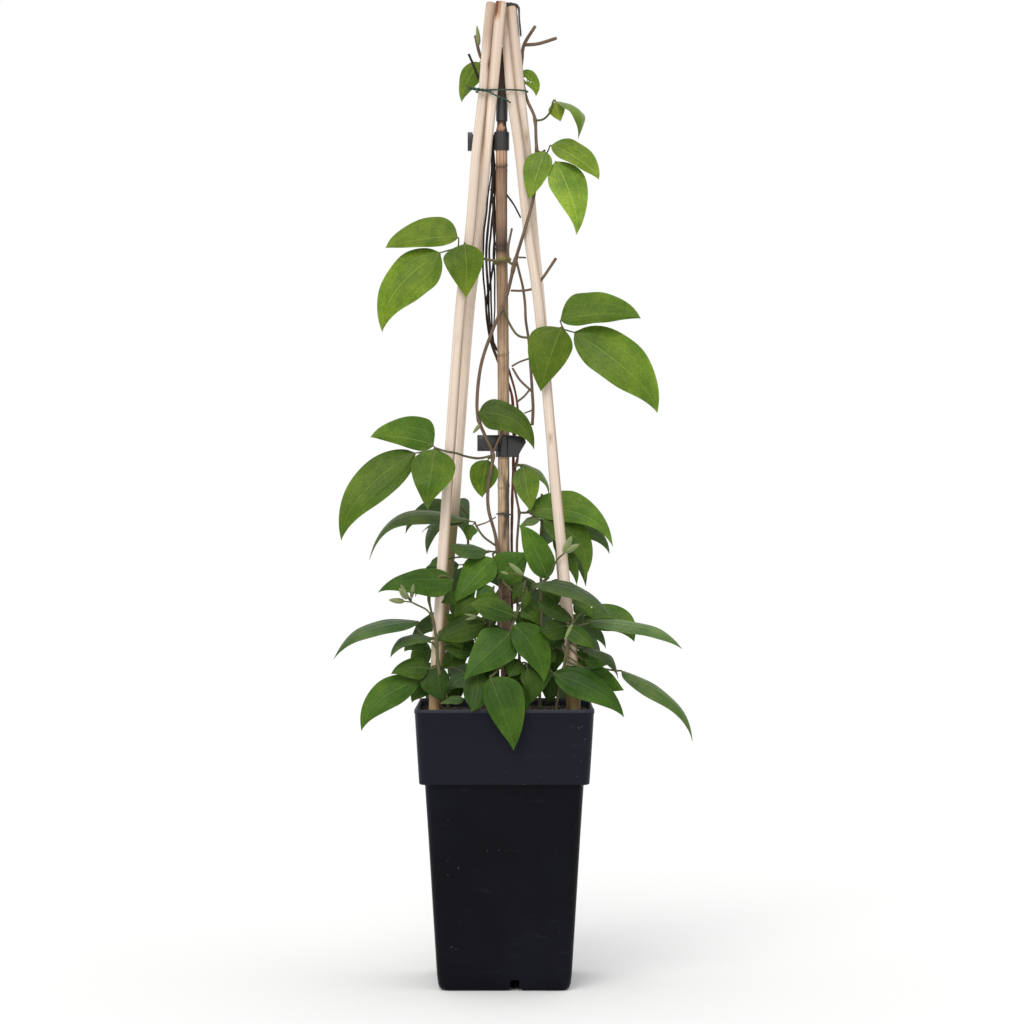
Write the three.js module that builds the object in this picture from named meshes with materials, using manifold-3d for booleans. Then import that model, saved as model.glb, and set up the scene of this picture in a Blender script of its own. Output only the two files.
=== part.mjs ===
// Potted clematis on a pyramid of four canes. Millimetres, +Z up, front towards -Y.
import * as THREE from 'three';
import Module from 'manifold-3d';

const wasm = await Module();
wasm.setup();

// Clearances
const gap = 0.3;
const holeGap = 0.4;

// Pot: half widths, corner radii and heights
const pot = {
  rimTop: 189, rimTopHalf: 60, rimLowHalf: 56.8, rimLow: 139, rimEdge: 0.9, rimEdgeIn: 0.5,
  bodyTopHalf: 53, baseHalf: 44.5, wall: 1.5, floorSlack: 0.7,
  rimCorner: 9, stepCorner: 8.6, bodyCorner: 7.5, baseCorner: 6.5, recessCorner: 5,
  panelTop: 9.4, panelUnder: 7.8, footRadius: 13, ribHalf: 0.9, ribLow: 2,
  drainRadius: 4, drainReach: 27, drainTurn: 0.25, cornerDrainReach: 35.1,
  notchOffset: 7, notchHalf: 3, notchFlare: 6.2, notchLean: 1.5, notchShoulder: 3, notchTop: 7.6,
  notchRound: 0.6,
};

// Soil: surface height, how far it rises and falls, and the sizes of the rings of its surface
const soil = {
  top: 182.6, edgeDrop: 2, roughness: 1.5, edgeShare: 0.3, corner: 7.2, steps: 2,
  rings: [0.98, 0.8, 0.56, 0.28], seed: 11,
};

// Canes
const cane = { radius: 3.2, taper: 0.15, sides: 8, spacing: 90 };
const bamboo = {
  radius: 3.65, topRadius: 3.1, sides: 8, taperLow: 584, taperHigh: 606, straightLow: 120,
  nodes: [556, 502, 427, 337, 262, 196], nodeHalf: 2, nodeRise: 0.25, samples: 400,
};
const holeDepth = 1.2;

// Clips, ties and the band
const collarSides = 10;
const sleeve = { low: 587.5, high: 605.5, inner: 3.5, outer: 4 };
const upperClip = {
  x: -2, y: 3.4, low: 567.5, high: 580, inner: 4.45, outer: 5.3,
  armBack: 8.2, armFront: 6.2, armInset: 1, wingX: -25.3, wingWidth: 3.4, wingFront: 2.2,
};
const lowerClip = {
  x: -0.6, y: 0, low: 357.5, high: 372.5, inner: 4.25, outer: 5.5, front: -5.4, boxBack: -1.6, wingBack: -2.4,
  boxLeft: -18.6, boxRight: -4, boxLow: 361.5,
};
const tie = { x: -0.5, radius: 4.9, height: 318, rise: 0.1, steps: 9, cord: 0.5, knot: 0.7 };
const band = { front: -3.4, back: 0.4, shiftX: 0.75, shiftZ: 0.85 };
const wire = { radius: 0.6, twistRadius: 1.15, spacing: 8, sides: 4 };

// Leaves
const bladeHalfThickness = 0.34;
const bladeRows = [0.1, 0.33, 0.66, 1];
const smallBladeRows = [0.16, 0.5, 1];
const smallBladeWidth = 14.5;
const neckHalf = 0.55;
const neckLength = 2;
const bladeOutline = [
  [0, 0.09], [0.05, 0.5], [0.12, 0.76], [0.22, 0.94], [0.34, 1], [0.46, 0.965],
  [0.6, 0.82], [0.72, 0.61], [0.83, 0.37], [0.92, 0.16], [1, 0.045],
];
const bladeCrown = 0.14;
const edgeWave = 0.05;
const stemSides = 5;
const stalkSides = 4;
const thinStem = 0.95;
const endReach = 0.8;
const stemSpacing = 30;
const flatness = 0.08;
const bud = { shares: [0, 0.35, 0.75, 1], widths: [0.4, 1, 0.85, 0.2], least: 0.35, sides: 4 };

// Back leaves: three leaflets each; pairs of numbers are for the middle leaflet and for the side ones
const backLeaf = {
  size: [1, 0.86], sizeLow: 0.9, sizeHigh: 1.1, swingLow: 0.68, swingHigh: 0.82,
  forward: [0.45, 0.3], forwardLow: 0.8, forwardHigh: 1.2,
  drop: [0.85, 0.5], dropLow: 0.85, dropHigh: 1.15, widthLow: 0.36, widthHigh: 0.44,
  lift: 0.4, arch: 0.06, hook: 0.05, bend: 0.14, neck: 4, seed: 29,
  stalkRise: 7, stalkRadii: [0.9, 0.8], stemRadii: [0.95, 1.1],
};

// Colours
const colours = {
  pot: 0x202229, soil: 0x2b2019, cane: 0xe6cdb0, bamboo: 0x9c7650, black: 0x17171a,
  wire: 0x2c4a38, leaf: 0x4f8128, deadStem: 0x3a2a22,
};

const group = new THREE.Group();
group.name = 'potted_clematis';

function vector(point) {
  return new THREE.Vector3(point[0], point[1], point[2]);
}

// Repeatable draw between 0 and 1
function makeDraw(seed) {
  let state = seed;
  return () => {
    state = (state * 1103515245 + 12345) % 2147483648;
    return state / 2147483648;
  };
}

function solidFrom(positions, triangles) {
  const mesh = new wasm.Mesh({
    numProp: 3,
    vertProperties: new Float32Array(positions),
    triVerts: new Uint32Array(triangles),
  });
  return new wasm.Manifold(mesh);
}

// Closed skin through rings that have the same number of points, counted the same way round
function skin(rings) {
  const positions = [];
  const triangles = [];
  const count = rings[0].length;
  for (const ring of rings) {
    for (const point of ring) positions.push(point[0], point[1], point[2]);
  }
  for (let level = 0; level + 1 < rings.length; level += 1) {
    for (let i = 0; i < count; i += 1) {
      const next = (i + 1) % count;
      const a = level * count + i;
      const b = level * count + next;
      triangles.push(a, b, b + count, a, b + count, a + count);
    }
  }
  const last = (rings.length - 1) * count;
  for (let i = 1; i + 1 < count; i += 1) {
    triangles.push(0, i + 1, i);
    triangles.push(last, last + i, last + i + 1);
  }
  return outward(positions, triangles);
}

function joined(solids) {
  let whole = solids[0];
  for (const next of solids.slice(1)) whole = whole.add(next);
  return whole;
}

function place(name, solid, colour, roughness = 0.6, metalness = 0) {
  const mesh = solid.getMesh();
  const geometry = new THREE.BufferGeometry();
  geometry.setAttribute('position', new THREE.BufferAttribute(new Float32Array(mesh.vertProperties), 3));
  geometry.setIndex(new THREE.BufferAttribute(new Uint32Array(mesh.triVerts), 1));
  geometry.computeVertexNormals();
  const material = new THREE.MeshStandardMaterial({ color: colour, roughness, metalness });
  const node = new THREE.Mesh(geometry, material);
  node.name = name;
  group.add(node);
}

// Rounded square ring at one height
function squareRing(half, corner, height, steps = 3) {
  const ring = [];
  const reach = half - corner;
  const centres = [[reach, reach], [-reach, reach], [-reach, -reach], [reach, -reach]];
  centres.forEach(([x, y], quarter) => {
    for (let step = 0; step <= steps; step += 1) {
      const angle = (quarter + step / steps) * Math.PI / 2;
      ring.push([x + corner * Math.cos(angle), y + corner * Math.sin(angle), height]);
    }
  });
  return ring;
}

function squareLoft(levels) {
  return skin(levels.map(([half, corner, height]) => squareRing(half, corner, height)));
}

function circleRing(x, y, height, radius, sides) {
  const ring = [];
  for (let i = 0; i < sides; i += 1) {
    const angle = (i / sides) * Math.PI * 2;
    ring.push([x + radius * Math.cos(angle), y + radius * Math.sin(angle), height]);
  }
  return ring;
}

function column(x, y, low, high, radius, sides) {
  return skin([circleRing(x, y, low, radius, sides), circleRing(x, y, high, radius, sides)]);
}

// Straight prism: an outline in X and Z, drawn out in Y
function plate(outline, front, back) {
  const near = outline.map(([x, z]) => [x, front, z]);
  const far = outline.map(([x, z]) => [x, back, z]);
  const positions = [...near, ...far].flat();
  const count = outline.length;
  const triangles = [];
  const contour = outline.map(([x, z]) => new THREE.Vector2(x, z));
  for (const [a, b, c] of THREE.ShapeUtils.triangulateShape(contour, [])) {
    triangles.push(a, b, c, a + count, c + count, b + count);
  }
  for (let i = 0; i < count; i += 1) {
    const next = (i + 1) % count;
    triangles.push(i, i + count, next + count, i, next + count, next);
  }
  return outward(positions, triangles);
}

function smoothPath(points, spacing) {
  const curve = new THREE.CatmullRomCurve3(points.map(vector), false, 'centripetal');
  const spans = points.length - 1;
  const path = [];
  for (let span = 0; span < spans; span += 1) {
    const reach = vector(points[span]).distanceTo(vector(points[span + 1]));
    const pieces = Math.max(1, Math.round(reach / spacing));
    for (let step = 0; step < pieces; step += 1) path.push(curve.getPoint((span + step / pieces) / spans));
  }
  path.push(curve.getPoint(1));
  return path;
}

// Closed tube along a path; radiusAt gives the radius at a share of the length
function tube(path, radiusAt, sides) {
  const rings = [];
  let side = null;
  path.forEach((point, index) => {
    const before = path[Math.max(0, index - 1)];
    const after = path[Math.min(path.length - 1, index + 1)];
    const along = after.clone().sub(before).normalize();
    side = side ?? (Math.abs(along.x) < 0.9 ? new THREE.Vector3(1, 0, 0) : new THREE.Vector3(0, 1, 0));
    side = side.clone().addScaledVector(along, -side.dot(along)).normalize();
    const other = along.clone().cross(side);
    const radius = radiusAt(index / (path.length - 1));
    const ring = [];
    for (let i = 0; i < sides; i += 1) {
      const angle = (i / sides) * Math.PI * 2;
      const spot = point.clone()
        .addScaledVector(side, radius * Math.cos(angle))
        .addScaledVector(other, radius * Math.sin(angle));
      ring.push([spot.x, spot.y, spot.z]);
    }
    rings.push(ring);
  });
  return skin(rings);
}

function between(low, high, share) {
  return low + (high - low) * share;
}

function outlineAt(share) {
  for (let i = 0; i + 1 < bladeOutline.length; i += 1) {
    const [from, wide] = bladeOutline[i];
    const [to, nextWide] = bladeOutline[i + 1];
    if (share <= to) return between(wide, nextWide, (share - from) / (to - from));
  }
  return bladeOutline[bladeOutline.length - 1][1];
}

// One leaflet from its root to its tip. face is the way its upper side looks; arch and hook lift the
// midrib off the straight line; bend swings it sideways.
function leaflet(root, tip, width, face, arch, hook, bend, neck = neckLength, stalk = null) {
  const from = vector(root);
  const chord = vector(tip).sub(from);
  const length = chord.length();
  const ahead = chord.clone().normalize();
  const up = vector(face).normalize();
  up.addScaledVector(ahead, -up.dot(ahead)).normalize();
  const across = up.clone().cross(ahead);
  const neckShare = neck / length;
  const rows = [0, 0.8 * neckShare];
  for (const row of width < smallBladeWidth ? smallBladeRows : bladeRows) {
    rows.push(between(neckShare, 1, row));
  }
  const midrib = (t) => {
    const bow = 4 * t * (1 - t);
    const curl = 4 * (t * t - t * t * t * t);
    return from.clone()
      .addScaledVector(ahead, length * t)
      .addScaledVector(up, length * (arch * bow + hook * curl))
      .addScaledVector(across, length * bend * bow);
  };
  let rootSide = null;
  const rings = rows.map((t, index) => {
    const along = midrib(Math.min(1, t + 0.02)).sub(midrib(Math.max(0, t - 0.02))).normalize();
    const normal = up.clone().addScaledVector(along, -up.dot(along)).normalize();
    const sideways = along.clone().cross(normal);
    rootSide = rootSide ?? sideways;
    const spread = (t - neckShare) / (1 - neckShare);
    const half = Math.max(neckHalf, spread > 0 ? width / 2 * outlineAt(spread) : 0);
    const wave = spread > 0 ? (index % 2 === 0 ? 1 : -1) * edgeWave * half : 0;
    const spots = [-1, 0, 1].map((u) => midrib(t)
      .addScaledVector(sideways, u * half)
      .addScaledVector(normal, -Math.abs(u) * bladeCrown * half + u * wave));
    const lift = normal.clone().multiplyScalar(bladeHalfThickness);
    const upper = spots.map((spot) => spot.clone().add(lift));
    const lower = spots.map((spot) => spot.clone().sub(lift)).reverse();
    return [...upper, ...lower].map((spot) => [spot.x, spot.y, spot.z]);
  });
  if (stalk !== null) rings.unshift(...stalkRings(stalk, rootSide));
  return bladeSkin(rings);
}

// Six-sided rings along the stalk of a leaflet, up to its root, turned to meet the blade
function stalkRings([points, startRadius, endRadius], bladeSide) {
  const path = smoothPath(points, stemSpacing);
  const rings = [];
  let side = bladeSide;
  for (let i = path.length - 2; i >= 0; i -= 1) {
    const along = path[i + 1].clone().sub(path[Math.max(0, i - 1)]).normalize();
    side = side.clone().addScaledVector(along, -side.dot(along)).normalize();
    const normal = side.clone().cross(along);
    const radius = between(startRadius, endRadius, i / (path.length - 1));
    rings.unshift([150, 90, 30, -30, -90, -150].map((degrees) => {
      const angle = degrees * Math.PI / 180;
      return path[i].clone()
        .addScaledVector(side, radius * Math.cos(angle))
        .addScaledVector(normal, radius * Math.sin(angle))
        .toArray();
    }));
  }
  return rings;
}

// Like skin, with the ends closed in strips so that both faces are cut alike
function bladeSkin(rings) {
  const positions = rings.flat(2);
  const triangles = [];
  const count = 6;
  const quad = (a, b, c, d) => triangles.push(a, b, c, a, c, d);
  for (let level = 0; level + 1 < rings.length; level += 1) {
    for (let i = 0; i < count; i += 1) {
      const a = level * count + i;
      const b = level * count + (i + 1) % count;
      quad(a, b, b + count, a + count);
    }
  }
  const last = (rings.length - 1) * count;
  quad(1, 0, 5, 4);
  quad(2, 1, 4, 3);
  quad(last, last + 1, last + 4, last + 5);
  quad(last + 1, last + 2, last + 3, last + 4);
  return outward(positions, triangles);
}

// A closed body with its faces turned outwards
function outward(positions, triangles) {
  const solid = solidFrom(positions, triangles);
  if (solid.volume() > 0) return solid;
  const turned = [];
  for (let i = 0; i < triangles.length; i += 3) turned.push(triangles[i], triangles[i + 2], triangles[i + 1]);
  return solidFrom(positions, turned);
}

function stemSolid([points, startRadius, endRadius], extra = 0, reach = 0) {
  const path = smoothPath(points, stemSpacing);
  const last = path[path.length - 1];
  const along = last.clone().sub(path[path.length - 2]).normalize();
  last.addScaledVector(along, reach);
  const sides = startRadius < thinStem ? stalkSides : stemSides;
  return tube(path, (share) => between(startRadius, endRadius, share) + extra, sides);
}

function budSolid([root, tip, radius]) {
  const path = bud.shares.map((share) => vector(root).lerp(vector(tip), share));
  const last = path.length - 1;
  return tube(path, (share) => Math.max(bud.least, radius * bud.widths[Math.round(share * last)]), bud.sides);
}

// Each shoot: stems as [points, start radius, end radius], the first one standing in the soil;
// leaflets as [root, tip, width, face, arch, hook, bend, neck length, stalk]; buds as [root, tip, radius]
const shoots = {
  climbing_stem: {
    stems: [
      [[
        [12, 8, 634.5], [11.5, 8.5, 626], [12.5, 9, 616.5], [15.5, 6, 602.5], [20.5, 1, 590],
        [21.5, -2, 575.5], [22, -6.5, 556.5], [20, -12.5, 535], [15.5, -17, 517], [7.5, -10, 491.5],
        [1, -7.5, 465.5], [-8, -8, 444], [-15.5, -8.5, 422], [-18.5, -8.5, 399.5], [-18, -9, 384.5],
        [-12, -9, 369], [-8, -8, 359], [-11, -8.5, 339], [-11, -8, 322.5], [-6, -7.5, 303],
        [-3, -10, 277], [-4.5, -16, 226.5], [-4.5, -18, 169],
      ], 1.1, 1.3],
      [[[12, 8, 634.5], [13.5, 8, 641], [21, 6, 653]], 1.3, 1.2],
      [[[13.5, 8, 640.5], [23, 9, 641.5], [35.5, 10, 645.5]], 1.3, 1.2],
      [[
        [12, 8.5, 630.5], [6, 13.5, 626.5], [-2.5, 15.5, 625.5], [-10.5, 13.5, 627], [-16, 10.5, 632],
        [-20, 9, 647],
      ], 1.1, 1.2],
      [[[3, -7, 490.5], [2.5, -7.5, 499.5], [5, -6.5, 513]], 0.9, 0.8],
      [[
        [8, -10, 491.5], [10, -6, 483.5], [12.5, -3, 473.5], [14, -2, 462], [14.5, -2, 451],
        [16.5, -2, 437.5], [18, -2, 416.5], [19, -2, 400.5], [19.5, -2, 391.5], [19, -2, 379.5],
      ], 0.9, 1.1],
      [[[4.5, -4, 471], [12.5, -3.5, 471], [20, -6, 472.5], [25, -7, 478], [35, -9, 492.5]], 0.8, 1.1],
      [[[9, -11.5, 493], [14.5, -9, 493]], 0.7, 0.6],
      [[[17.5, -2, 425], [10.5, -3, 422.5], [5, -2.5, 419.5]], 0.7, 0.7],
      [[[5.5, -5, 418], [10.5, -4, 410], [18.5, -2, 402.5]], 0.8, 0.9],
      [[[17.5, -2.5, 404], [13.5, -4, 399], [8.5, -5, 395]], 0.8, 0.8],
      [[[19, -2, 389.5], [13.5, -3, 387.5]], 0.6, 0.5],
      [[[-1.5, -10.5, 375], [-5, -9.5, 367], [-8, -8.5, 360]], 0.8, 0.8],
      [[[-19.5, -9, 310.5], [-12, -8, 313], [-6, -6.5, 316.5]], 0.6, 0.5],
    ],
    leaflets: [
      [[-15.5, 11.5, 631], [-29.5, 16, 602.5], 17, [-0.4, -0.9, 0.3], 0.05, 0, -0.05, 3.5],
      [[10.5, 9, 623.5], [21.5, 9, 605.5], 13, [0.3, -0.9, 0.3], 0.05, 0.05, 0.12],
      [[34.5, -8, 600.5], [38, -10, 585.5], 8, [-0.5, -0.8, 0.2], 0.05, 0, 0],
      [[35, -8, 599], [50, -15, 573.5], 15, [0.75, -0.45, 0.35], 0.3, 0.05, 0, 2, [[
        [21, 0, 587.5], [26.5, -3, 588], [31.5, -7, 593], [33.5, -8, 600.5], [35, -8, 599],
      ], 0.8, 0.7]],
      [[28, -9.5, 563.5], [17, -15, 532.5], 19, [-0.15, -1, 0.3], 0.06, 0, 0.05, 2, [[
        [21.5, -5, 567], [25, -8, 564.5], [28, -9.5, 563.5],
      ], 0.9, 0.8]],
      [[28.5, -9.5, 563.5], [64.5, -14, 545.5], 18.5, [0.1, -0.8, 0.55], 0.05, 0.06, 0.13, 4],
      [[33.5, -10, 558.5], [49, -19, 507.5], 27, [0.15, -1, 0.2], 0.06, 0.04, 0.09],
      [[-31.5, -18.5, 498.5], [-80, -26, 498.5], 20, [-0.1, -0.9, 0.45], 0.05, 0.06, -0.19, 4.5],
      [[-32.5, -19, 498.5], [-82.5, -24, 441.5], 30, [-0.25, -0.95, 0.2], 0.06, 0.05, -0.08, 6],
      [[-32, -18.5, 499.5], [-25.5, -25, 464], 27, [0, -1, 0.25], 0.05, 0, 0.02, 3.5, [[
        [6.5, -9, 487.5], [2.5, -7, 490.5], [-4, -7.5, 491], [-10.5, -8.5, 491.5], [-18, -14.5, 493],
        [-25.5, -18.5, 496], [-32, -18.5, 499.5],
      ], 0.9, 0.8]],
      [[40, -27, 443], [91.5, -33, 450.5], 21, [0.1, -0.9, 0.45], 0.05, 0.06, 0.2, 3.5],
      [[40, -27, 443], [103, -37, 386], 32, [0.25, -0.95, 0.2], 0.06, 0.05, 0.08, 5.5],
      [[40.5, -27, 443.5], [25, -32, 400.5], 30, [0, -1, 0.22], 0.05, 0, -0.03, 4, [[
        [-1, -8, 459], [3.5, -8, 448], [9, -12, 440], [16, -18, 438], [22.5, -24.5, 438.5],
        [32, -27.5, 441.5], [40.5, -27, 443.5],
      ], 0.9, 0.8]],
      [[-47.5, -35.5, 361], [-89.5, -42, 370], 19.5, [-0.1, -0.9, 0.45], 0.05, 0.06, -0.17, 5.5],
      [[-48, -35.5, 361.5], [-109, -42, 301], 30, [-0.25, -0.95, 0.2], 0.06, 0.05, -0.08, 7.5],
      [[-48.5, -35.5, 362], [-51, -41, 321], 31, [0, -1, 0.22], 0.05, 0, 0.04, 4, [[
        [-8, -8.5, 358.5], [-16.5, -14, 356.5], [-26, -27, 357.5], [-32.5, -34, 359.5],
        [-40.5, -37, 361], [-48.5, -35.5, 362],
      ], 0.9, 0.8]],
      [[-17.5, -9, 382.5], [20, -16, 362], 19, [0.05, -1, 0.35], 0.06, 0.05, 0.15, 6],
      [[-8, -5, 355], [-15.5, -6.5, 330], 17.5, [-0.1, -1, 0.2], 0.04, 0, 0.05, 2, [[
        [-8.5, -8, 357.5], [-8, -5, 355],
      ], 0.8, 0.7]],
      [[-20, -9, 313], [-91, -2, 287.5], 20, [-0.1, -0.5, 0.85], 0.14, 0.1, 0, 8, [[
        [-6.5, -7.5, 297.5], [-14, -9, 303], [-18, -9.5, 308.5], [-20, -9, 313],
      ], 0.8, 0.8]],
      [[-19.5, -9, 313], [-56.5, 4, 306], 13, [0, -0.42, 0.9], 0.1, 0.05, 0, 5.5],
      [[-20.5, -9.5, 312.5], [-22.5, -13, 300.5], 10, [-0.25, -1, -0.1], 0.05, 0, -0.15],
      [[-39, -12, 287.5], [-51.5, -14, 282.5], 9, [-0.1, -0.7, 0.7], 0.2, 0, 0, 2, [[
        [-10, -9.5, 293], [-23.5, -8.5, 290], [-37, -10.5, 288.5], [-39, -12, 287.5],
      ], 0.7, 0.6]],
      [[-9, -13, 289], [-36.5, -28, 257.5], 26, [-0.1, -1, 0.35], 0.06, 0, -0.05, 2, [[
        [-4, -8, 293.5], [-8, -11, 291.5], [-9, -13, 289],
      ], 0.8, 0.8]],
      [[-10, -9, 293], [-37, -20, 298], 16, [0, -0.75, 0.65], 0.05, 0.05, 0.05, 2, [[
        [-4.5, -8, 294], [-7, -8.5, 293], [-10, -9, 293],
      ], 0.7, 0.7]],
    ],
    buds: [
      [[-17.5, 9, 640.5], [-19, 8, 654], 1.6],
      [[-16, -9, 380], [-21.5, -10, 373.5], 1.5],
    ],
  },
  right_stem: {
    stems: [
      [[
        [10, 4, 372], [9, 3, 357], [7, 2, 348.5], [7, 1, 336.5], [9, 0, 325.5], [10, 0, 320],
        [9.5, 1, 312], [8.5, 2, 297.5], [9, 2, 277], [9, 0, 253], [10, -3, 226], [10.5, -6, 192],
        [10.5, -6, 168],
      ], 0.8, 1.1],
    ],
    leaflets: [
      [[7, -3, 350], [16.5, -11, 320.5], 18.5, [0.1, -1, 0.25], 0.05, 0, 0.04, 2, [[
        [7, 2, 347.5], [7, 0, 351], [7, -3, 350],
      ], 0.8, 0.7]],
      [[8.5, 3, 353], [32.5, 10, 340], 13, [0.1, -0.35, 0.95], 0.16, 0.06, 0, 2, [[
        [8, 2.5, 354], [8.5, 3, 353],
      ], 0.8, 0.7]],
      [[15.5, -4, 320.5], [72.5, -14, 296], 22, [0.15, -0.85, 0.5], 0.05, 0.06, 0.13, 2, [[
        [10, 0, 319.5], [13.5, -2, 319.5], [17.5, -4, 319.5], [21.5, -6, 316.5], [15.5, -4, 320.5],
      ], 0.9, 0.8]],
      [[25, -8, 315], [54, -16, 274], 20, [0.2, -0.95, 0.25], 0.05, 0.02, 0.22],
      [[33, 1, 303.5], [49, -4, 270], 12, [0.3, -0.9, 0.1], 0.05, 0, 0.08, 2, [[
        [19.5, -4.5, 318], [27, -3, 312], [33, 1, 303.5],
      ], 0.7, 0.6]],
    ],
  },
  front_shoot: {
    stems: [
      [[
        [30, -24.5, 276], [24.5, -27, 272], [19, -30, 268], [13, -34, 260.5], [7, -40, 249],
        [4, -43, 239], [2.5, -40, 217.5], [2.5, -34, 194], [2.5, -33, 170],
      ], 0.8, 1.1],
      [[[21.5, -29, 270], [17, -32, 274.5], [12.5, -34, 277], [7, -36, 282]], 0.7, 0.6],
      [[[12.5, -34, 277], [6, -36, 278.5], [1, -37, 279]], 0.6, 0.5],
      [[[27.5, -26, 274], [31.5, -31, 279.5], [35, -38.5, 287.5], [41, -41, 293.5]], 0.7, 0.6],
    ],
    leaflets: [
      [[3, -46, 238.5], [-26, -60.5, 208], 29, [-0.1, -1, 0.3], 0.06, 0, -0.03, 2, [[
        [4, -43, 236.5], [2.5, -45.5, 238.5], [3, -46, 238.5],
      ], 0.8, 0.7]],
      [[6, -46, 240.5], [26.5, -56, 207], 25, [0.15, -1, 0.3], 0.06, 0, 0.05, 2, [[
        [4, -43, 239], [5.5, -45, 241.5], [6, -46, 240.5],
      ], 0.8, 0.7]],
      [[-7.5, -60.5, 209], [6.5, -68, 162.5], 29, [0, -1, 0.25], 0.06, 0.02, 0.03, 2, [[
        [2.5, -40, 216.5], [-3, -50, 216], [-7, -58, 212.5], [-7.5, -60.5, 209],
      ], 0.9, 0.8]],
      [[15, -50, 217], [17.5, -55, 193], 20, [0.15, -1, 0.1], 0.04, 0, 0.04, 2, [[
        [2.5, -39, 213], [9, -45, 218.5], [14.5, -48.5, 219.5], [15, -50, 217],
      ], 0.8, 0.7]],
      [[10.5, -43, 222.5], [3, -50, 210], 14, [0, -1, 0.2], 0.04, 0, 0, 2, [[
        [2.5, -38.5, 211.5], [6.5, -41, 218.5], [10.5, -43, 222.5],
      ], 0.7, 0.7]],
      [[5, -42, 248], [-22, -50, 257.5], 18, [-0.1, -0.95, 0.4], 0.05, 0.02, 0.03, 2, [[
        [7, -40, 249], [6, -41.5, 248.5], [5, -42, 248],
      ], 0.8, 0.7]],
      [[-2.5, -16, 277.5], [11, -20, 295], 22, [0, -1, 0.3], 0.04, 0, 0, 2, [[
        [13, -34, 260.5], [6.5, -26, 266], [-0.5, -17.5, 272.5], [-2.5, -16, 276], [-2.5, -16, 277.5],
      ], 0.8, 0.7]],
      [[29.5, -24, 275], [10, -24, 311], 22, [0.05, -1, 0.15], 0.05, 0, 0.06],
      [[18, -36, 268.5], [71.5, -56, 250], 21, [0.15, -0.62, 0.8], 0.1, 0.06, 0, 2, [[
        [19, -30, 268], [18, -33, 268.5], [18, -36, 268.5],
      ], 0.9, 0.8]],
    ],
    buds: [
      [[12.5, -34, 277.5], [2.5, -37, 286], 2.1],
      [[2.5, -37, 278.5], [-4, -38, 279.5], 1.6],
      [[39.5, -40.5, 292.5], [45, -43, 304], 2.2],
      [[40, -40.5, 293], [50, -44, 298.5], 2.1],
    ],
  },
  middle_shoot: {
    stems: [
      [[
        [-9.5, -36, 245.5], [-11.5, -35, 234], [-15, -35, 217.5], [-17, -36, 194], [-17.5, -36, 170.5],
      ], 0.8, 1],
      [[[-10.5, -35.5, 241], [-15, -38, 248.5], [-19, -40, 250]], 0.6, 0.5],
    ],
    leaflets: [
      [[-11, -36, 245], [-44.5, -43, 234], 18, [0, -0.95, 0.4], 0.05, 0, -0.04, 2, [[
        [-9.5, -36, 244], [-11.5, -36.5, 246.5], [-11, -36, 245],
      ], 0.8, 0.7]],
      [[-21, -32, 224.5], [-41, -36, 230], 11, [0, -0.95, 0.3], 0.04, 0, 0, 2, [[
        [-15, -35, 219.5], [-19, -33, 224], [-21, -32, 224.5],
      ], 0.7, 0.7]],
      [[-25.5, -50, 195.5], [-43, -53, 192.5], 9, [0, -0.6, 0.8], 0.1, 0, 0, 2, [[
        [-17, -36, 198], [-20.5, -45, 201], [-25, -50, 197], [-25.5, -50, 195.5],
      ], 0.7, 0.6]],
      [[-17.5, -53, 209], [-22, -63, 188], 15, [-0.1, -1, 0.2], 0.04, 0, 0, 2, [[
        [-15.5, -36, 208.5], [-15.5, -45, 213], [-17.5, -53, 209],
      ], 0.8, 0.7]],
      [[-3, -34, 257], [-17.5, -38, 264.5], 11, [0, -0.95, 0.4], 0.04, 0, 0, 2, [[
        [-10, -36, 243.5], [-5, -35, 253], [-2.5, -34, 257.5], [-3, -34, 257],
      ], 0.7, 0.6]],
    ],
    buds: [
      [[-17.5, -39, 249.5], [-27.5, -42, 252], 1.1],
      [[-18.5, -39.5, 249.5], [-26.5, -42, 248], 1.1],
    ],
  },
  left_shoot: {
    stems: [
      [[
        [-37, -43.5, 273], [-34.5, -43, 274.5], [-41.5, -45, 277.5], [-49, -46, 272],
        [-50.5, -44.5, 263.5], [-48.5, -44, 252], [-45.5, -45, 236], [-44.5, -46.5, 220.5],
        [-42.5, -47, 208], [-38, -47, 194.5], [-36.5, -45, 171],
      ], 0.8, 1.1],
      [[[-47.5, -44, 248], [-51.5, -46, 254.5], [-57, -47, 257.5], [-62, -48, 260]], 0.7, 0.6],
      [[[-62, -48, 260], [-67, -49.5, 260.5]], 0.5, 0.5],
      [[[-62, -48, 260], [-65, -49, 263.5]], 0.5, 0.5],
      [[[-62, -48, 260], [-62, -48, 264]], 0.5, 0.5],
      [[[-62, -48, 260], [-64, -47, 264]], 0.5, 0.5],
    ],
    leaflets: [
      [[-35, -43, 274], [-84, -52, 266.5], 19.5, [-0.1, -0.9, 0.45], 0.06, 0.06, -0.12],
      [[-59, -44, 243], [-112.5, -58, 222], 19, [-0.1, -0.55, 0.85], 0.12, 0.08, 0, 2, [[
        [-45.5, -45, 236], [-52.5, -44, 236.5], [-59, -43.5, 244], [-59, -44, 243],
      ], 0.8, 0.7]],
      [[-46.5, -45, 236], [-75.5, -56, 223.5], 14, [-0.1, -0.6, 0.8], 0.12, 0.05, 0, 2, [[
        [-45.5, -45, 236], [-46.5, -45, 236],
      ], 0.9, 0.8]],
      [[-49, -46, 215.5], [-75.5, -49, 212], 16, [-0.2, -0.95, 0.35], 0.05, 0, -0.08, 2, [[
        [-44, -46.5, 218], [-47.5, -46, 216], [-49, -46, 215.5],
      ], 0.8, 0.7]],
      [[-55.5, -44, 208], [-95, -52, 174], 24, [-0.2, -1, 0.3], 0.06, 0.04, -0.1, 2, [[
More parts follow.
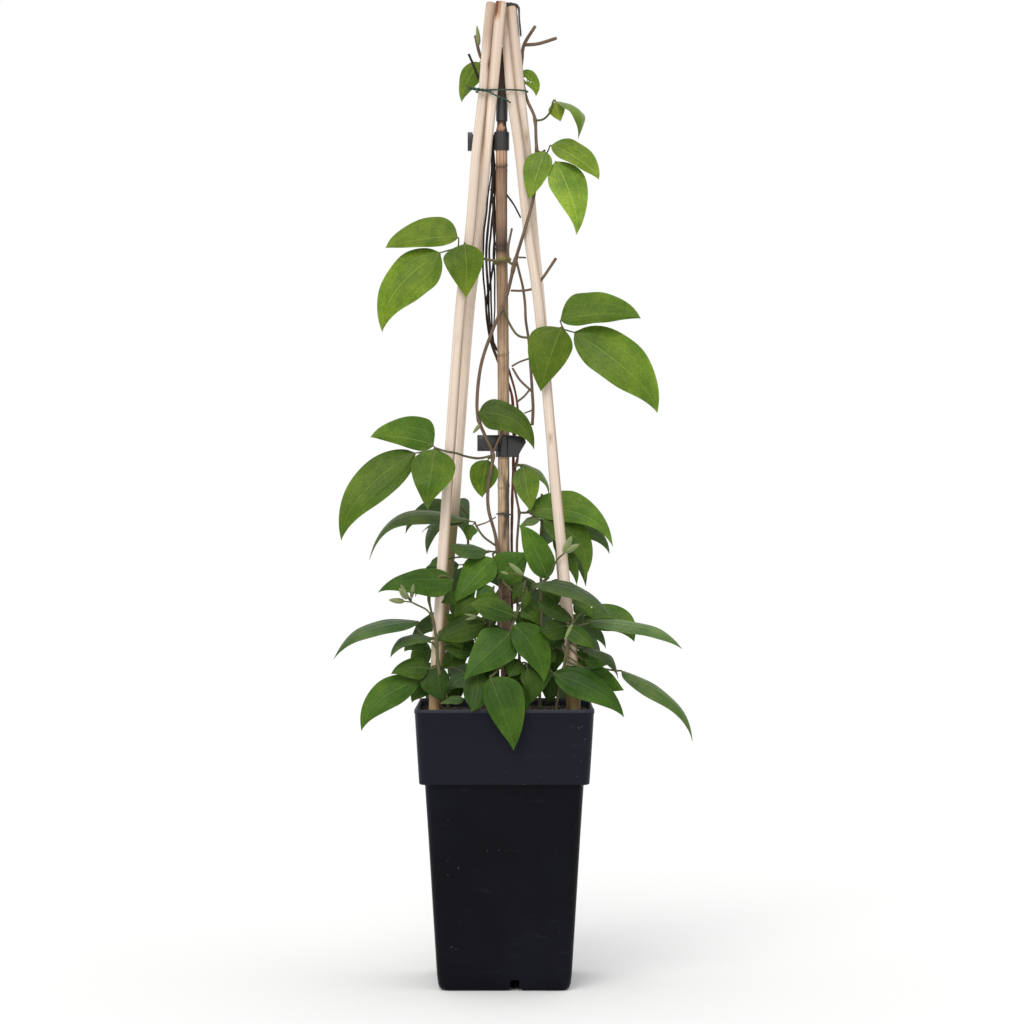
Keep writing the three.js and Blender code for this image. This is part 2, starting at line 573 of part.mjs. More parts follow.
        [-44, -46.5, 213.5], [-49.5, -45, 213], [-55.5, -43.5, 209], [-55.5, -44, 208],
      ], 0.8, 0.7]],
      [[-44.5, -45, 220], [-40.5, -50, 195], 18, [0, -1, -0.05], 0.04, 0, 0, 2, [[
        [-44.5, -46.5, 219.5], [-44.5, -45, 222], [-44.5, -45, 220],
      ], 0.8, 0.7]],
    ],
    buds: [
      [[-66.5, -49.5, 260.5], [-77, -51, 261.5], 2],
      [[-64.5, -49, 262.5], [-70, -50, 269], 2.6],
      [[-64, -47, 263.5], [-68, -47, 271.5], 1.5],
      [[-62, -48, 262.5], [-60.5, -48.5, 272.5], 1.5],
    ],
  },
  right_shoot: {
    stems: [
      [[
        [45.5, -45, 245.5], [42, -44.5, 228], [38, -43, 208], [35, -39, 191], [34.5, -37, 170.5],
      ], 0.8, 1.1],
    ],
    leaflets: [
      [[53, -28, 248], [89, -36, 232], 22, [0.1, -0.95, 0.35], 0.05, 0, 0.25, 2, [[
        [45, -45, 242.5], [48.5, -38, 249.5], [53, -29, 251.5], [53, -28, 248],
      ], 0.8, 0.7]],
      [[59.5, -40, 245], [118.5, -52, 228.5], 19, [0.1, -0.6, 0.8], 0.07, 0.06, 0, 2, [[
        [45, -45, 243.5], [52, -42, 244.5], [58.5, -39.5, 247], [59.5, -40, 245],
      ], 0.8, 0.7]],
      [[44, -42, 245], [23, -48, 240.5], 15, [0, -0.95, 0.35], 0.04, 0, 0.03, 2, [[
        [45.5, -45, 244.5], [44, -42, 246], [44, -42, 245],
      ], 0.7, 0.7]],
      [[46, -46, 244.5], [58, -54, 229], 15, [0.1, -0.95, 0.3], 0.05, 0, 0.08, 2, [[
        [45, -45, 244], [46, -46, 244.5],
      ], 0.7, 0.7]],
      [[46, -44, 247], [22, -43, 261], 12, [0, -0.9, 0.45], 0.05, 0, 0, 2, [[
        [45.5, -45, 245.5], [47, -44.5, 247], [46, -44, 247],
      ], 0.7, 0.6]],
      [[52.5, -46, 229.5], [75.5, -54, 210.5], 15, [0.35, -0.5, 0.8], 0.2, 0.12, 0, 2, [[
        [43, -45, 234], [48.5, -45, 230], [52.5, -46, 229.5],
      ], 0.7, 0.7]],
      [[52.5, -40, 221], [70.5, -44, 218.5], 9, [0, -0.9, 0.4], 0.04, 0, 0, 2, [[
        [42.5, -44.5, 230.5], [48.5, -41.5, 224.5], [52.5, -40, 221],
      ], 0.6, 0.6]],
      [[56, -41, 213], [80, -45, 201], 14, [0.1, -0.95, -0.2], 0.04, 0, 0, 2, [[
        [41, -44.5, 224.5], [49, -44.5, 219], [56, -41, 213],
      ], 0.6, 0.6]],
      [[32.5, -46, 210], [79.5, -54, 183.5], 22.5, [0.1, -1, 0.3], 0.06, 0.04, 0.05, 2, [[
        [38, -43, 209], [34.5, -45, 213], [32.5, -46, 210],
      ], 0.8, 0.7]],
      [[77.5, -34, 210], [125.5, -44, 166.5], 18, [0.5, -0.6, 0.6], 0.1, 0.08, 0, 2, [[
        [40.5, -45, 221], [47, -46, 218], [55, -43.5, 216], [66, -37.5, 215], [75, -34, 213.5],
        [77.5, -34, 210],
      ], 0.8, 0.7]],
    ],
    buds: [
      [[45.5, -45, 245], [40.5, -50, 235], 1.7],
    ],
  },
};

const deadStems = [
  [[
    [-24.5, 4, 633.5], [-21.5, 5, 626.5], [-18.5, 6, 619], [-14, 9, 611], [-11.5, 10.5, 595],
    [-9, 11, 569], [-8, 5.5, 551.5], [-10, 3.5, 527], [-12.5, 3, 499.5], [-11.5, 2.5, 475.5],
    [-10, 3.5, 448], [-7, 6, 431], [-3, 7, 420], [1.5, 6, 410.5], [5, 3, 400], [6, 4, 388.5],
    [6, 4.5, 357.5], [5, 3.5, 314.5], [5, 4, 259.5], [4.5, 5, 198], [4.5, 5, 167],
  ], 0.9, 1],
  [[
    [-9, 4.5, 540.5], [-8, 2, 533.5], [-7.5, 0, 516], [-7, -1, 495.5], [-10, 1, 475], [-12.5, 2, 463],
    [-10.5, 6, 444], [-5, 8, 431], [1, 7, 422], [4.5, 4, 412], [7.5, 3, 401.5], [9, 3, 391],
    [8.5, 4, 379.5], [6, 4.5, 368],
  ], 0.8, 0.8],
  [[
    [-9.5, 4, 540.5], [-4.5, 7, 543], [-0.5, 7, 540], [2.5, 5, 536], [6.5, 1.5, 530], [11, -1, 521],
  ], 0.8, 0.6],
];

// Canes: centre line from the top down, X, Y, Z
const canes = {
  cane_front_left: [
    [-9.5, 6, 669], [-11.5, 4, 650], [-14.8, 1, 607], [-19, -4, 569.5], [-24.1, -10, 507],
    [-29.6, -17.2, 465], [-36.5, -26.5, 370], [-39.3, -29.8, 328], [-47.4, -40, 189],
    [-47.2, -40.4, 140], [-44, -38.5, 75],
  ],
  cane_back_left: [
    [-2.8, -5.5, 659], [-7.7, -2, 607], [-11.6, 2, 569.5], [-17.6, 9, 506.5], [-23.1, 15, 465],
    [-30.9, 24, 370], [-34, 28, 328], [-46.5, 40, 189], [-46.8, 40.4, 140], [-44, 38.5, 75],
  ],
  cane_front_right: [
    [0.5, 4.2, 656], [2.7, 2, 625], [4.1, -0.8, 607], [9.5, -5, 569.5], [16.3, -11, 507],
    [22.3, -17, 465], [31.2, -26, 370], [34.9, -30, 328], [47.3, -40, 189], [47.2, -40.4, 140],
    [44, -38.5, 75],
  ],
  cane_back_right: [
    [5.4, -1.5, 663], [9.05, -0.5, 625], [10.8, 0.9, 607], [15, 5, 569.5], [20.5, 11.5, 507],
    [24.8, 17.5, 465], [32.5, 26, 370], [35.7, 29.3, 328], [46.5, 40, 189], [46.8, 40.4, 140],
    [44, 38.5, 75],
  ],
};
const centreLine = [
  [-2, 8, 632], [-1.8, 6, 607], [-2, 3, 569], [-2, 0, 500], [-1.4, 0, 465], [-0.7, 0, 396],
  [-0.5, 0, 300], [0.5, 0, 260], [1.5, 0, 190], [1.5, 0, 140], [1.5, 0, 70],
];

// Shoots at the back: foot and top of the stem; leaves as [height, heading, stalk, leaflet length]
const backShoots = {
  back_left_shoot: {
    foot: [-22, 24, 165], top: [-26, 34, 322],
    leaves: [[203, 118, 42, 44], [240, 124, 22, 46], [276, 100, 24, 50], [318, 140, 16, 50]],
  },
  back_right_shoot: {
    foot: [24, 22, 165], top: [26, 36, 345],
    leaves: [[201, 70, 44, 46], [236, 52, 22, 46], [262, 88, 30, 50], [305, 42, 18, 52]],
  },
};

// Pot
const innerLow = pot.baseHalf - pot.wall + pot.floorSlack;
const shell = squareLoft([
  [pot.baseHalf, pot.baseCorner, 0],
  [pot.bodyTopHalf, pot.bodyCorner, pot.rimLow - 0.6],
  [pot.rimLowHalf - 0.5, pot.stepCorner - 0.2, pot.rimLow - 0.3],
  [pot.rimLowHalf, pot.stepCorner, pot.rimLow + 0.6],
  [pot.rimTopHalf, pot.rimCorner, pot.rimTop - pot.rimEdge],
  [pot.rimTopHalf - pot.rimEdgeIn, pot.rimCorner - pot.rimEdgeIn, pot.rimTop],
]);
const cavity = squareLoft([
  [innerLow, pot.baseCorner - 1, pot.panelTop],
  [pot.bodyTopHalf - pot.wall, pot.bodyCorner - 1.3, pot.rimLow - 1.4],
  [pot.rimLowHalf - pot.wall, pot.stepCorner - 1.4, pot.rimLow + 1.2],
  [pot.rimTopHalf - pot.wall, pot.rimCorner - pot.wall, pot.rimTop + 1],
]);
const recess = squareLoft([
  [pot.baseHalf - pot.wall - 0.1, pot.recessCorner, -1],
  [pot.baseHalf - pot.wall + 0.3, pot.recessCorner, pot.panelUnder],
]);
const foot = column(0, 0, -2, pot.panelUnder + 1, pot.footRadius, 12);
const rib = squareLoft([[pot.baseHalf, 0.4, pot.ribLow], [pot.baseHalf, 0.4, pot.panelUnder + 1]]);
const thin = pot.ribHalf / pot.baseHalf;
const ribs = rib.scale([1, thin, 1]).add(rib.scale([thin, 1, 1]));
let potSolid = shell.subtract(cavity).subtract(recess.subtract(foot).subtract(ribs));

const notchLeft = pot.notchOffset - pot.notchHalf;
const notchRight = pot.notchOffset + pot.notchHalf;
const notch = plate([
  [pot.notchOffset - pot.notchFlare, -1],
  [pot.notchOffset + pot.notchFlare + pot.notchLean, -1],
  [notchRight, pot.notchShoulder],
  [notchRight, pot.notchTop - pot.notchRound],
  [notchRight - 1, pot.notchTop],
  [notchLeft + 1, pot.notchTop],
  [notchLeft, pot.notchTop - pot.notchRound],
  [notchLeft, pot.notchShoulder],
], -pot.baseHalf - 3, -pot.baseHalf + 3);

function drain(reach, angle) {
  const low = pot.panelUnder - 2;
  const high = pot.panelTop + 2;
  return column(reach * Math.cos(angle), reach * Math.sin(angle), low, high, pot.drainRadius, 8);
}
for (let quarter = 0; quarter < 4; quarter += 1) {
  const angle = quarter * Math.PI / 2;
  potSolid = potSolid
    .subtract(notch.rotate([0, 0, quarter * 90]))
    .subtract(drain(pot.drainReach, angle + pot.drainTurn))
    .subtract(drain(pot.cornerDrainReach, angle + Math.PI / 4));
}
place('pot', potSolid, colours.pot, 0.4);

// Soil, a gap inside the pot, with an uneven top
const drawSoil = makeDraw(soil.seed);
const soilTopShare = (soil.top - pot.rimLow) / (pot.rimTop - pot.rimLow);
const soilHalf = between(pot.rimLowHalf, pot.rimTopHalf, soilTopShare) - pot.wall - 1.5 * gap;
const soilLevels = [
  [innerLow - gap, pot.baseCorner - 1.3, pot.panelTop + gap],
  [pot.bodyTopHalf - pot.wall - gap, pot.bodyCorner - 1.6, pot.rimLow - 1.2],
  [pot.rimLowHalf - pot.wall - gap - 0.1, pot.stepCorner - 1.7, pot.rimLow + 1.5],
  [soilHalf, soil.corner, soil.top - soil.edgeDrop],
];
const soilRings = soilLevels.map(([half, corner, height]) => squareRing(half, corner, height, soil.steps));
for (const share of soil.rings) {
  const swing = 2 * soil.roughness * (share > 0.95 ? soil.edgeShare : 1);
  const ring = squareRing(soilHalf * share, soil.corner * share, soil.top, soil.steps);
  soilRings.push(ring.map(([x, y, z]) => [x, y, z + (drawSoil() - 0.5) * swing]));
}
let soilSolid = skin(soilRings);

// Canes with a slight taper, standing in plain holes in the soil
function caneSolid(points, extra = 0) {
  const path = smoothPath(points, cane.spacing);
  return tube(path, (share) => cane.radius + extra - cane.taper * (1 - share), cane.sides);
}
for (const [name, points] of Object.entries(canes)) {
  place(name, caneSolid(points), colours.cane, 0.6);
  soilSolid = soilSolid.subtract(caneSolid(deeper(points), holeGap));
}

// The same line, carried on a little past its lower end
function deeper(points) {
  const [x, y, z] = points[points.length - 1];
  return [...points, [x, y, z - holeDepth]];
}

// Centre cane: level rings along its line, a little wider above each node
const centreCurve = new THREE.CatmullRomCurve3(centreLine.map(vector), false, 'centripetal');
const centreSamples = centreCurve.getSpacedPoints(bamboo.samples);
function centreRing(height, radius) {
  const spot = centreSamples.reduce((best, point) => (
    Math.abs(point.z - height) < Math.abs(best.z - height) ? point : best
  ));
  return circleRing(spot.x, spot.y, height, radius, bamboo.sides);
}
function bambooSolid(extra = 0) {
  const heights = [centreLine[0][2], bamboo.taperHigh, bamboo.taperLow];
  for (const node of bamboo.nodes) heights.push(node + bamboo.nodeHalf, node - bamboo.nodeHalf);
  heights.push(bamboo.straightLow, centreLine[centreLine.length - 1][2] - extra * 2);
  return skin(heights.map((height) => {
    const rise = bamboo.nodes.includes(height + bamboo.nodeHalf) ? bamboo.nodeRise : 0;
    const wide = height >= bamboo.taperLow ? bamboo.topRadius : bamboo.radius;
    return centreRing(height, wide + extra + rise);
  }));
}
place('centre_cane', bambooSolid(), colours.bamboo, 0.55);
soilSolid = soilSolid.subtract(bambooSolid(holeGap));

// Sleeve round the top of the centre cane
function sleevePart(low, high, radius) {
  return skin([centreRing(low, radius), centreRing(high, radius)]);
}
const sleeveBore = sleevePart(sleeve.low - 1, sleeve.high + 1, sleeve.inner);
const sleeveSolid = sleevePart(sleeve.low, sleeve.high, sleeve.outer).subtract(sleeveBore);
place('centre_cane_sleeve', sleeveSolid, colours.black, 0.45);

// Clips: a ring round the centre cane with its arms
function clipRing(clip) {
  return column(clip.x, clip.y, clip.low, clip.high, clip.outer, collarSides);
}
function clipBore(clip) {
  return column(clip.x, clip.y, clip.low - 2, clip.high + 2, clip.inner, collarSides);
}
function block(left, right, low, high, front, back) {
  return plate([[left, low], [right, low], [right, high], [left, high]], front, back);
}
const armLow = upperClip.low + upperClip.armInset;
const armHigh = upperClip.high - upperClip.armInset;
const wingRight = upperClip.wingX + upperClip.wingWidth;
const upperArm = block(
  upperClip.wingX + 1, upperClip.x, armLow, armHigh, upperClip.armFront, upperClip.armBack,
);
const upperWing = block(
  upperClip.wingX, wingRight, upperClip.low, upperClip.high, upperClip.wingFront, upperClip.armBack,
);
const upperSolid = joined([clipRing(upperClip), upperArm, upperWing]).subtract(clipBore(upperClip));
place('upper_clip', upperSolid, colours.black, 0.45);

const lowerBox = block(
  lowerClip.boxLeft, lowerClip.boxRight, lowerClip.boxLow, lowerClip.high, lowerClip.front, lowerClip.boxBack,
);
const lowerWingOutline = [[2, 358], [8.6, 357.2], [14.7, 367.5], [13.5, 371.5], [2, lowerClip.high]];
const lowerWing = plate(lowerWingOutline, lowerClip.front, lowerClip.wingBack);
const lowerSolid = joined([clipRing(lowerClip), lowerBox, lowerWing]).subtract(clipBore(lowerClip));
place('lower_clip', lowerSolid, colours.black, 0.45);

// Thin tie round the centre cane, with its knot at the front
const tieTurn = [];
for (let step = 0; step <= tie.steps; step += 1) {
  const angle = (step / tie.steps) * Math.PI * 2;
  const x = tie.x + tie.radius * Math.sin(angle);
  tieTurn.push([x, -tie.radius * Math.cos(angle), tie.height + step * tie.rise]);
}
const tieKnot = [[-1.6, -5.2, 319.6], [-0.4, -4.9, 318.4], [1.2, -5.4, 317.2]];
const tieSolid = joined([
  tube(smoothPath(tieTurn, 5), () => tie.cord, 4),
  tube(smoothPath(tieKnot, 5), () => tie.knot, 4),
]);
place('centre_cane_tie', tieSolid, colours.black, 0.5);

// Band over the top of the back right cane
const bandLine = [[1.9, 667.4], [5.8, 667.7], [9, 665.2], [9.55, 656], [10.65, 645]];
const bandOutside = bandLine.map(([x, z]) => [x + band.shiftX, z + band.shiftZ]).reverse();
place('top_band', plate([...bandLine, ...bandOutside], band.front, band.back), colours.black, 0.5);

// Wire tie round all the canes, with its twist and tail at the front left
const wireLoop = [
  [-19.3, 1, 607.4], [-18.3, -2.8, 607.5], [-14.5, -5.2, 607.6], [-8.5, -6.5, 607.6], [-2, -6.9, 607.6],
  [5, -6.3, 607.6], [12.5, -3.7, 607.5], [15.7, -0.2, 607.4], [14.4, 4.9, 607.4], [8.5, 9.2, 607.6],
  [1.5, 10.9, 608], [-4.5, 10.7, 608.2], [-12, 7.2, 608], [-17.6, 5, 607.6], [-19.4, 1.6, 607.2],
];
const wireTwist = [[-24.2, -5.4, 608.8], [-19.5, -6.3, 608.1], [-14.5, -6.8, 607.3], [-9, -6.9, 606.9]];
const wireTail = [[-11.5, -7.1, 606.8], [-6.5, -7.9, 603.8], [-2, -8, 601.8], [1.2, -7.6, 600.6]];
const wireSolid = joined([
  tube(smoothPath(wireLoop, wire.spacing), () => wire.radius, wire.sides),
  tube(smoothPath(wireTwist, wire.spacing), () => wire.twistRadius, wire.sides + 1),
  tube(smoothPath(wireTail, wire.spacing), () => wire.radius, wire.sides),
]);
place('wire_tie', wireSolid, colours.wire, 0.5);

// Dead stems twisting up beside the centre cane
place('dead_stems', joined(deadStems.map((stem) => stemSolid(stem))), colours.deadStem, 0.8);
for (const [points, startRadius, endRadius] of deadStems) {
  soilSolid = soilSolid.subtract(stemSolid([deeper(points), startRadius, endRadius], holeGap));
}

// A leaf of three leaflets that hang from one point, the middle one straight out and down
function threeLeaflets([x, y, z], heading, length, stalk, draw) {
  const angle = heading * Math.PI / 180;
  const out = [Math.cos(angle), Math.sin(angle)];
  return [-1, 0, 1].map((side) => {
    const kind = Math.abs(side);
    const reach = length * backLeaf.size[kind] * between(backLeaf.sizeLow, backLeaf.sizeHigh, draw());
    const swing = side * between(backLeaf.swingLow, backLeaf.swingHigh, draw());
    const forward = backLeaf.forward[kind] * between(backLeaf.forwardLow, backLeaf.forwardHigh, draw());
    const drop = backLeaf.drop[kind] * between(backLeaf.dropLow, backLeaf.dropHigh, draw());
    const tip = [
      x + reach * (out[0] * forward - out[1] * swing),
      y + reach * (out[1] * forward + out[0] * swing),
      z - reach * drop,
    ];
    const width = reach * between(backLeaf.widthLow, backLeaf.widthHigh, draw());
    const face = [out[0], out[1], backLeaf.lift];
    const ownStalk = side === 0 ? stalk : null;
    const { arch, hook, bend, neck } = backLeaf;
    return [[x, y, z], tip, width, face, arch, hook, side * bend, neck, ownStalk];
  });
}

// Shoots at the back: a stem from the soil, with leaves of three on stalks
const drawLeaf = makeDraw(backLeaf.seed);
for (const [name, shoot] of Object.entries(backShoots)) {
  const leaflets = [];
  for (const [height, heading, stalk, length] of shoot.leaves) {
    const share = (height - shoot.foot[2]) / (shoot.top[2] - shoot.foot[2]);
    const start = vector(shoot.foot).lerp(vector(shoot.top), share);
    const angle = heading * Math.PI / 180;
    const end = vector([stalk * Math.cos(angle), stalk * Math.sin(angle), backLeaf.stalkRise]).add(start);
    const middle = start.clone().lerp(end, 0.5).setZ(end.z);
    const path = [start, middle, end].map((point) => point.toArray());
    leaflets.push(...threeLeaflets(path[2], heading, length, [path, ...backLeaf.stalkRadii], drawLeaf));
  }
  shoots[name] = { stems: [[[shoot.top, shoot.foot], ...backLeaf.stemRadii]], leaflets };
}

// Leafy shoots: stems, leaflets and buds fused, one node each
for (const [name, shoot] of Object.entries(shoots)) {
  const solids = shoot.stems.map((stem, index) => stemSolid(stem, 0, index > 0 ? endReach : 0));
  for (const row of shoot.leaflets) solids.push(leaflet(...row));
  for (const bud of shoot.buds ?? []) solids.push(budSolid(bud));
  place(name, joined(solids).simplify(flatness), colours.leaf, 0.5);
  const [points, startRadius, endRadius] = shoot.stems[0];
  soilSolid = soilSolid.subtract(stemSolid([deeper(points), startRadius, endRadius], holeGap));
}

place('potting_soil', soilSolid, colours.soil, 0.95);

export default group;
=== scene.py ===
import math
import random

import bmesh
import bpy
from mathutils import Matrix, Vector, noise


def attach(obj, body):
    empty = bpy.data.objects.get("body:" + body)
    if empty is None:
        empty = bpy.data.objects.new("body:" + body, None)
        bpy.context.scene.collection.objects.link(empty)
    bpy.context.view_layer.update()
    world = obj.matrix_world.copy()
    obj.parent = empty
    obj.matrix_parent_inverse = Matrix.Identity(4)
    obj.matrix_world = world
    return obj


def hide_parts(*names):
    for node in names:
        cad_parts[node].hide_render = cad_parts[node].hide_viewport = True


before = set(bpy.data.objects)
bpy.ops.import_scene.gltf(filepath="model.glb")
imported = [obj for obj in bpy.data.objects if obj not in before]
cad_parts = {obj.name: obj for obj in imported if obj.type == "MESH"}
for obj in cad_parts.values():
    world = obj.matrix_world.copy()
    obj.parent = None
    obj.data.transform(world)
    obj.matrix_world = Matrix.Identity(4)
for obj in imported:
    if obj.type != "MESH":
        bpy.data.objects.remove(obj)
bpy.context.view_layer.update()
mm = 0.001

# camera: level, a little right of the pot's centre, as far off as the photograph was taken from
cameraSetup = {"side": 0.0051, "distance": 1.907, "height": 0.320, "lens": 98.1, "sensor": 36.0}


def addObject(name, data):
    thing = bpy.data.objects.new(name, data)
    bpy.context.scene.collection.objects.link(thing)
    return thing


def placeCamera():
    data = bpy.data.cameras.new("photoCamera")
    data.lens = cameraSetup["lens"]
    data.sensor_width = cameraSetup["sensor"]
    data.clip_end = 50.0
    camera = addObject("photoCamera", data)
    camera.location = (cameraSetup["side"], -cameraSetup["distance"], cameraSetup["height"])
    camera.rotation_euler = (math.radians(90), 0, 0)
    bpy.context.scene.camera = camera


placeCamera()
print("camera placed")

# node helpers


def setInputs(tree, node, values):
    # a value can be a plain number, a colour or another node's output
    for key, value in values.items():
        if isinstance(value, bpy.types.NodeSocket):
            tree.links.new(value, node.inputs[key])
        else:
            node.inputs[key].default_value = value


def addNode(tree, kind, values=None, **settings):
    node = tree.nodes.new("ShaderNode" + kind)
    for name, setting in settings.items():
        setattr(node, name, setting)
    setInputs(tree, node, values or {})
    return node


def calc(tree, operation, a, b=0.0):
    return addNode(tree, "Math", {0: a, 1: b}, operation=operation).outputs[0]


def times(tree, a, b):
    return calc(tree, "MULTIPLY", a, b)


def fade(tree, value, low, high, start=0.0, end=1.0):
    numbers = dict(enumerate((value, low, high, start, end)))
    return addNode(tree, "MapRange", numbers, interpolation_type="SMOOTHSTEP").outputs[0]


def lineMask(tree, distance, width):
    # 1 on a line, gone at its width
    return calc(tree, "SUBTRACT", 1.0, fade(tree, calc(tree, "DIVIDE", distance, width), 0.35, 1.0))


def mixColour(tree, share, a, b, mode="MIX"):
    colours = [(*value, 1.0) if isinstance(value, tuple) else value for value in (a, b)]
    values = {0: share, 6: colours[0], 7: colours[1]}
    return addNode(tree, "Mix", values, data_type="RGBA", blend_type=mode).outputs[2]


def tinted(tree, base, tint):
    return mixColour(tree, 1.0, base, tint, "MULTIPLY")


def stretched(tree, vector, scale):
    return addNode(tree, "VectorMath", {0: vector, 1: scale}, operation="MULTIPLY").outputs[0]


def cloud(tree, vector, scale, detail=3.0, roughness=0.55):
    values = {"Vector": vector, "Scale": scale, "Detail": detail, "Roughness": roughness}
    return addNode(tree, "TexNoise", values).outputs["Fac"]


def readAttribute(tree, name, output="Vector"):
    return addNode(tree, "Attribute", attribute_name=name).outputs[output]


def objectPlace(tree):
    return addNode(tree, "TexCoord").outputs["Object"]


def raised(tree, height, strength, distance, after=None):
    values = {"Height": height, "Strength": strength, "Distance": distance}
    if after is not None:
        values["Normal"] = after
    return addNode(tree, "Bump", values).outputs["Normal"]


def newMaterial(name, roughness):
    material = bpy.data.materials.new(name)
    material.use_nodes = True
    shader = material.node_tree.nodes["Principled BSDF"]
    shader.inputs["Roughness"].default_value = roughness
    return material, material.node_tree, shader


def newGroup(name, inputs, outputs):
    # an input of None takes a vector, and every output is a plain value
    group = bpy.data.node_groups.new(name, "ShaderNodeTree")
    for label, value in inputs.items():
        kind = "NodeSocketVector" if value is None else "NodeSocketFloat"
        socket = group.interface.new_socket(name=label, in_out="INPUT", socket_type=kind)
        if value is not None:
            socket.default_value = value
    for label in outputs:
        group.interface.new_socket(name=label, in_out="OUTPUT", socket_type="NodeSocketFloat")
    return group, group.nodes.new("NodeGroupInput").outputs, group.nodes.new("NodeGroupOutput")


def useGroup(tree, group, **values):
    return addNode(tree, "Group", values, node_tree=group).outputs


def makeGrainGroup():
    # long fibres: the noise is squeezed across and drawn out along the piece
    group, ins, outs = newGroup("longGrain", {"Place": None, "Across": 1.6, "Along": 0.02},
                                ("Grain", "Fibres", "Blotches"))
    scale = addNode(group, "CombineXYZ", {0: ins["Across"], 1: ins["Across"], 2: ins["Along"]})
    squeezed = stretched(group, ins["Place"], scale.outputs[0])
    wide = stretched(group, ins["Place"], (0.16, 0.16, 0.045))
    setInputs(group, outs, {
        "Grain": fade(group, cloud(group, squeezed, 1.0, 4.0, 0.6), 0.3, 0.7),
        "Fibres": fade(group, cloud(group, squeezed, 3.4, 2.0, 0.5), 0.35, 0.65),
        "Blotches": fade(group, cloud(group, wide, 1.0, 3.0, 0.6), 0.35, 0.68),
    })
    return group


def makeVeinGroup():
    # Share holds the place across (-1 to 1), the place along (0 to 1) and the half width in millimetres
    group, ins, outs = newGroup("leafVeins", {"Share": None, "Place": None},
                                ("Main", "Side", "Loops", "Net", "Quilt"))
    across, along, half = addNode(group, "SeparateXYZ", {0: ins["Share"]}).outputs
    side = calc(group, "ABSOLUTE", across)
    reach = times(group, side, half)
    # the two side veins leave the base together and run beside the edge to the tip
    spread = fade(group, along, -0.06, 0.16, 0.0, 0.5)
    offLine = times(group, calc(group, "ABSOLUTE", calc(group, "SUBTRACT", side, spread)), half)
    # loops between the long veins, slanting towards the tip
    slant = calc(group, "ADD", times(group, along, 9.0), times(group, side, -1.7))
    sway = times(group, cloud(group, ins["Place"], 90.0, 2.0), 1.6)
    wave = calc(group, "SINE", times(group, calc(group, "ADD", slant, sway), math.tau))
    cells = addNode(group, "TexVoronoi", {"Vector": ins["Place"], "Scale": 520.0}, feature="DISTANCE_TO_EDGE")
    setInputs(group, outs, {
        "Main": lineMask(group, reach, fade(group, along, 0.0, 1.0, 0.46, 0.16)),
        "Side": lineMask(group, offLine, fade(group, along, 0.0, 1.0, 0.34, 0.14)),
        "Loops": times(group, fade(group, wave, 0.955, 0.998), fade(group, reach, 0.6, 1.6)),
        "Net": calc(group, "SUBTRACT", 1.0, fade(group, cells.outputs["Distance"], 0.0, 0.16)),
        "Quilt": fade(group, calc(group, "MINIMUM", reach, offLine), 0.0, 2.2),
    })
    return group


def makeSpeckGroup():
    # small pale specks and hair scratches
    group, ins, outs = newGroup("speckAndScuff", {"Place": None, "Specks": 260.0, "Scuffs": 60.0},
                                ("Speck", "Scuff", "Film"))
    place = ins["Place"]
    cells = addNode(group, "TexVoronoi", {"Vector": place, "Scale": ins["Specks"]})
    near = calc(group, "SUBTRACT", 1.0, fade(group, cells.outputs["Distance"], 0.05, 0.13))
    scratch = cloud(group, stretched(group, place, (1.0, 1.0, 5.0)), ins["Scuffs"], 3.0, 0.6)
    setInputs(group, outs, {
        "Speck": times(group, near, fade(group, cloud(group, place, 45.0, 2.0), 0.55, 0.72)),
        "Scuff": fade(group, scratch, 0.6, 0.78),
        "Film": fade(group, cloud(group, place, 14.0, 4.0, 0.6), 0.35, 0.75),
    })
    return group


grainGroup = makeGrainGroup()
veinGroup = makeVeinGroup()
speckGroup = makeSpeckGroup()
print("node groups made")

# materials

leafFinish = {
    "patchDark": (0.64, 0.74, 0.66), "patchLight": (1.34, 1.22, 1.15), "speckle": (0.6, 0.68, 0.55),
    "under": (0.08, 0.14, 0.055), "vein": (2.3, 1.9, 3.0), "net": (0.55, 0.6, 0.6),
    "main": 0.5, "side": 0.17, "sheen": {"Sheen Weight": 0.16, "Sheen Roughness": 0.35,
                                         "Sheen Tint": (0.85, 0.9, 0.85, 1.0), "Specular IOR Level": 0.1},
}


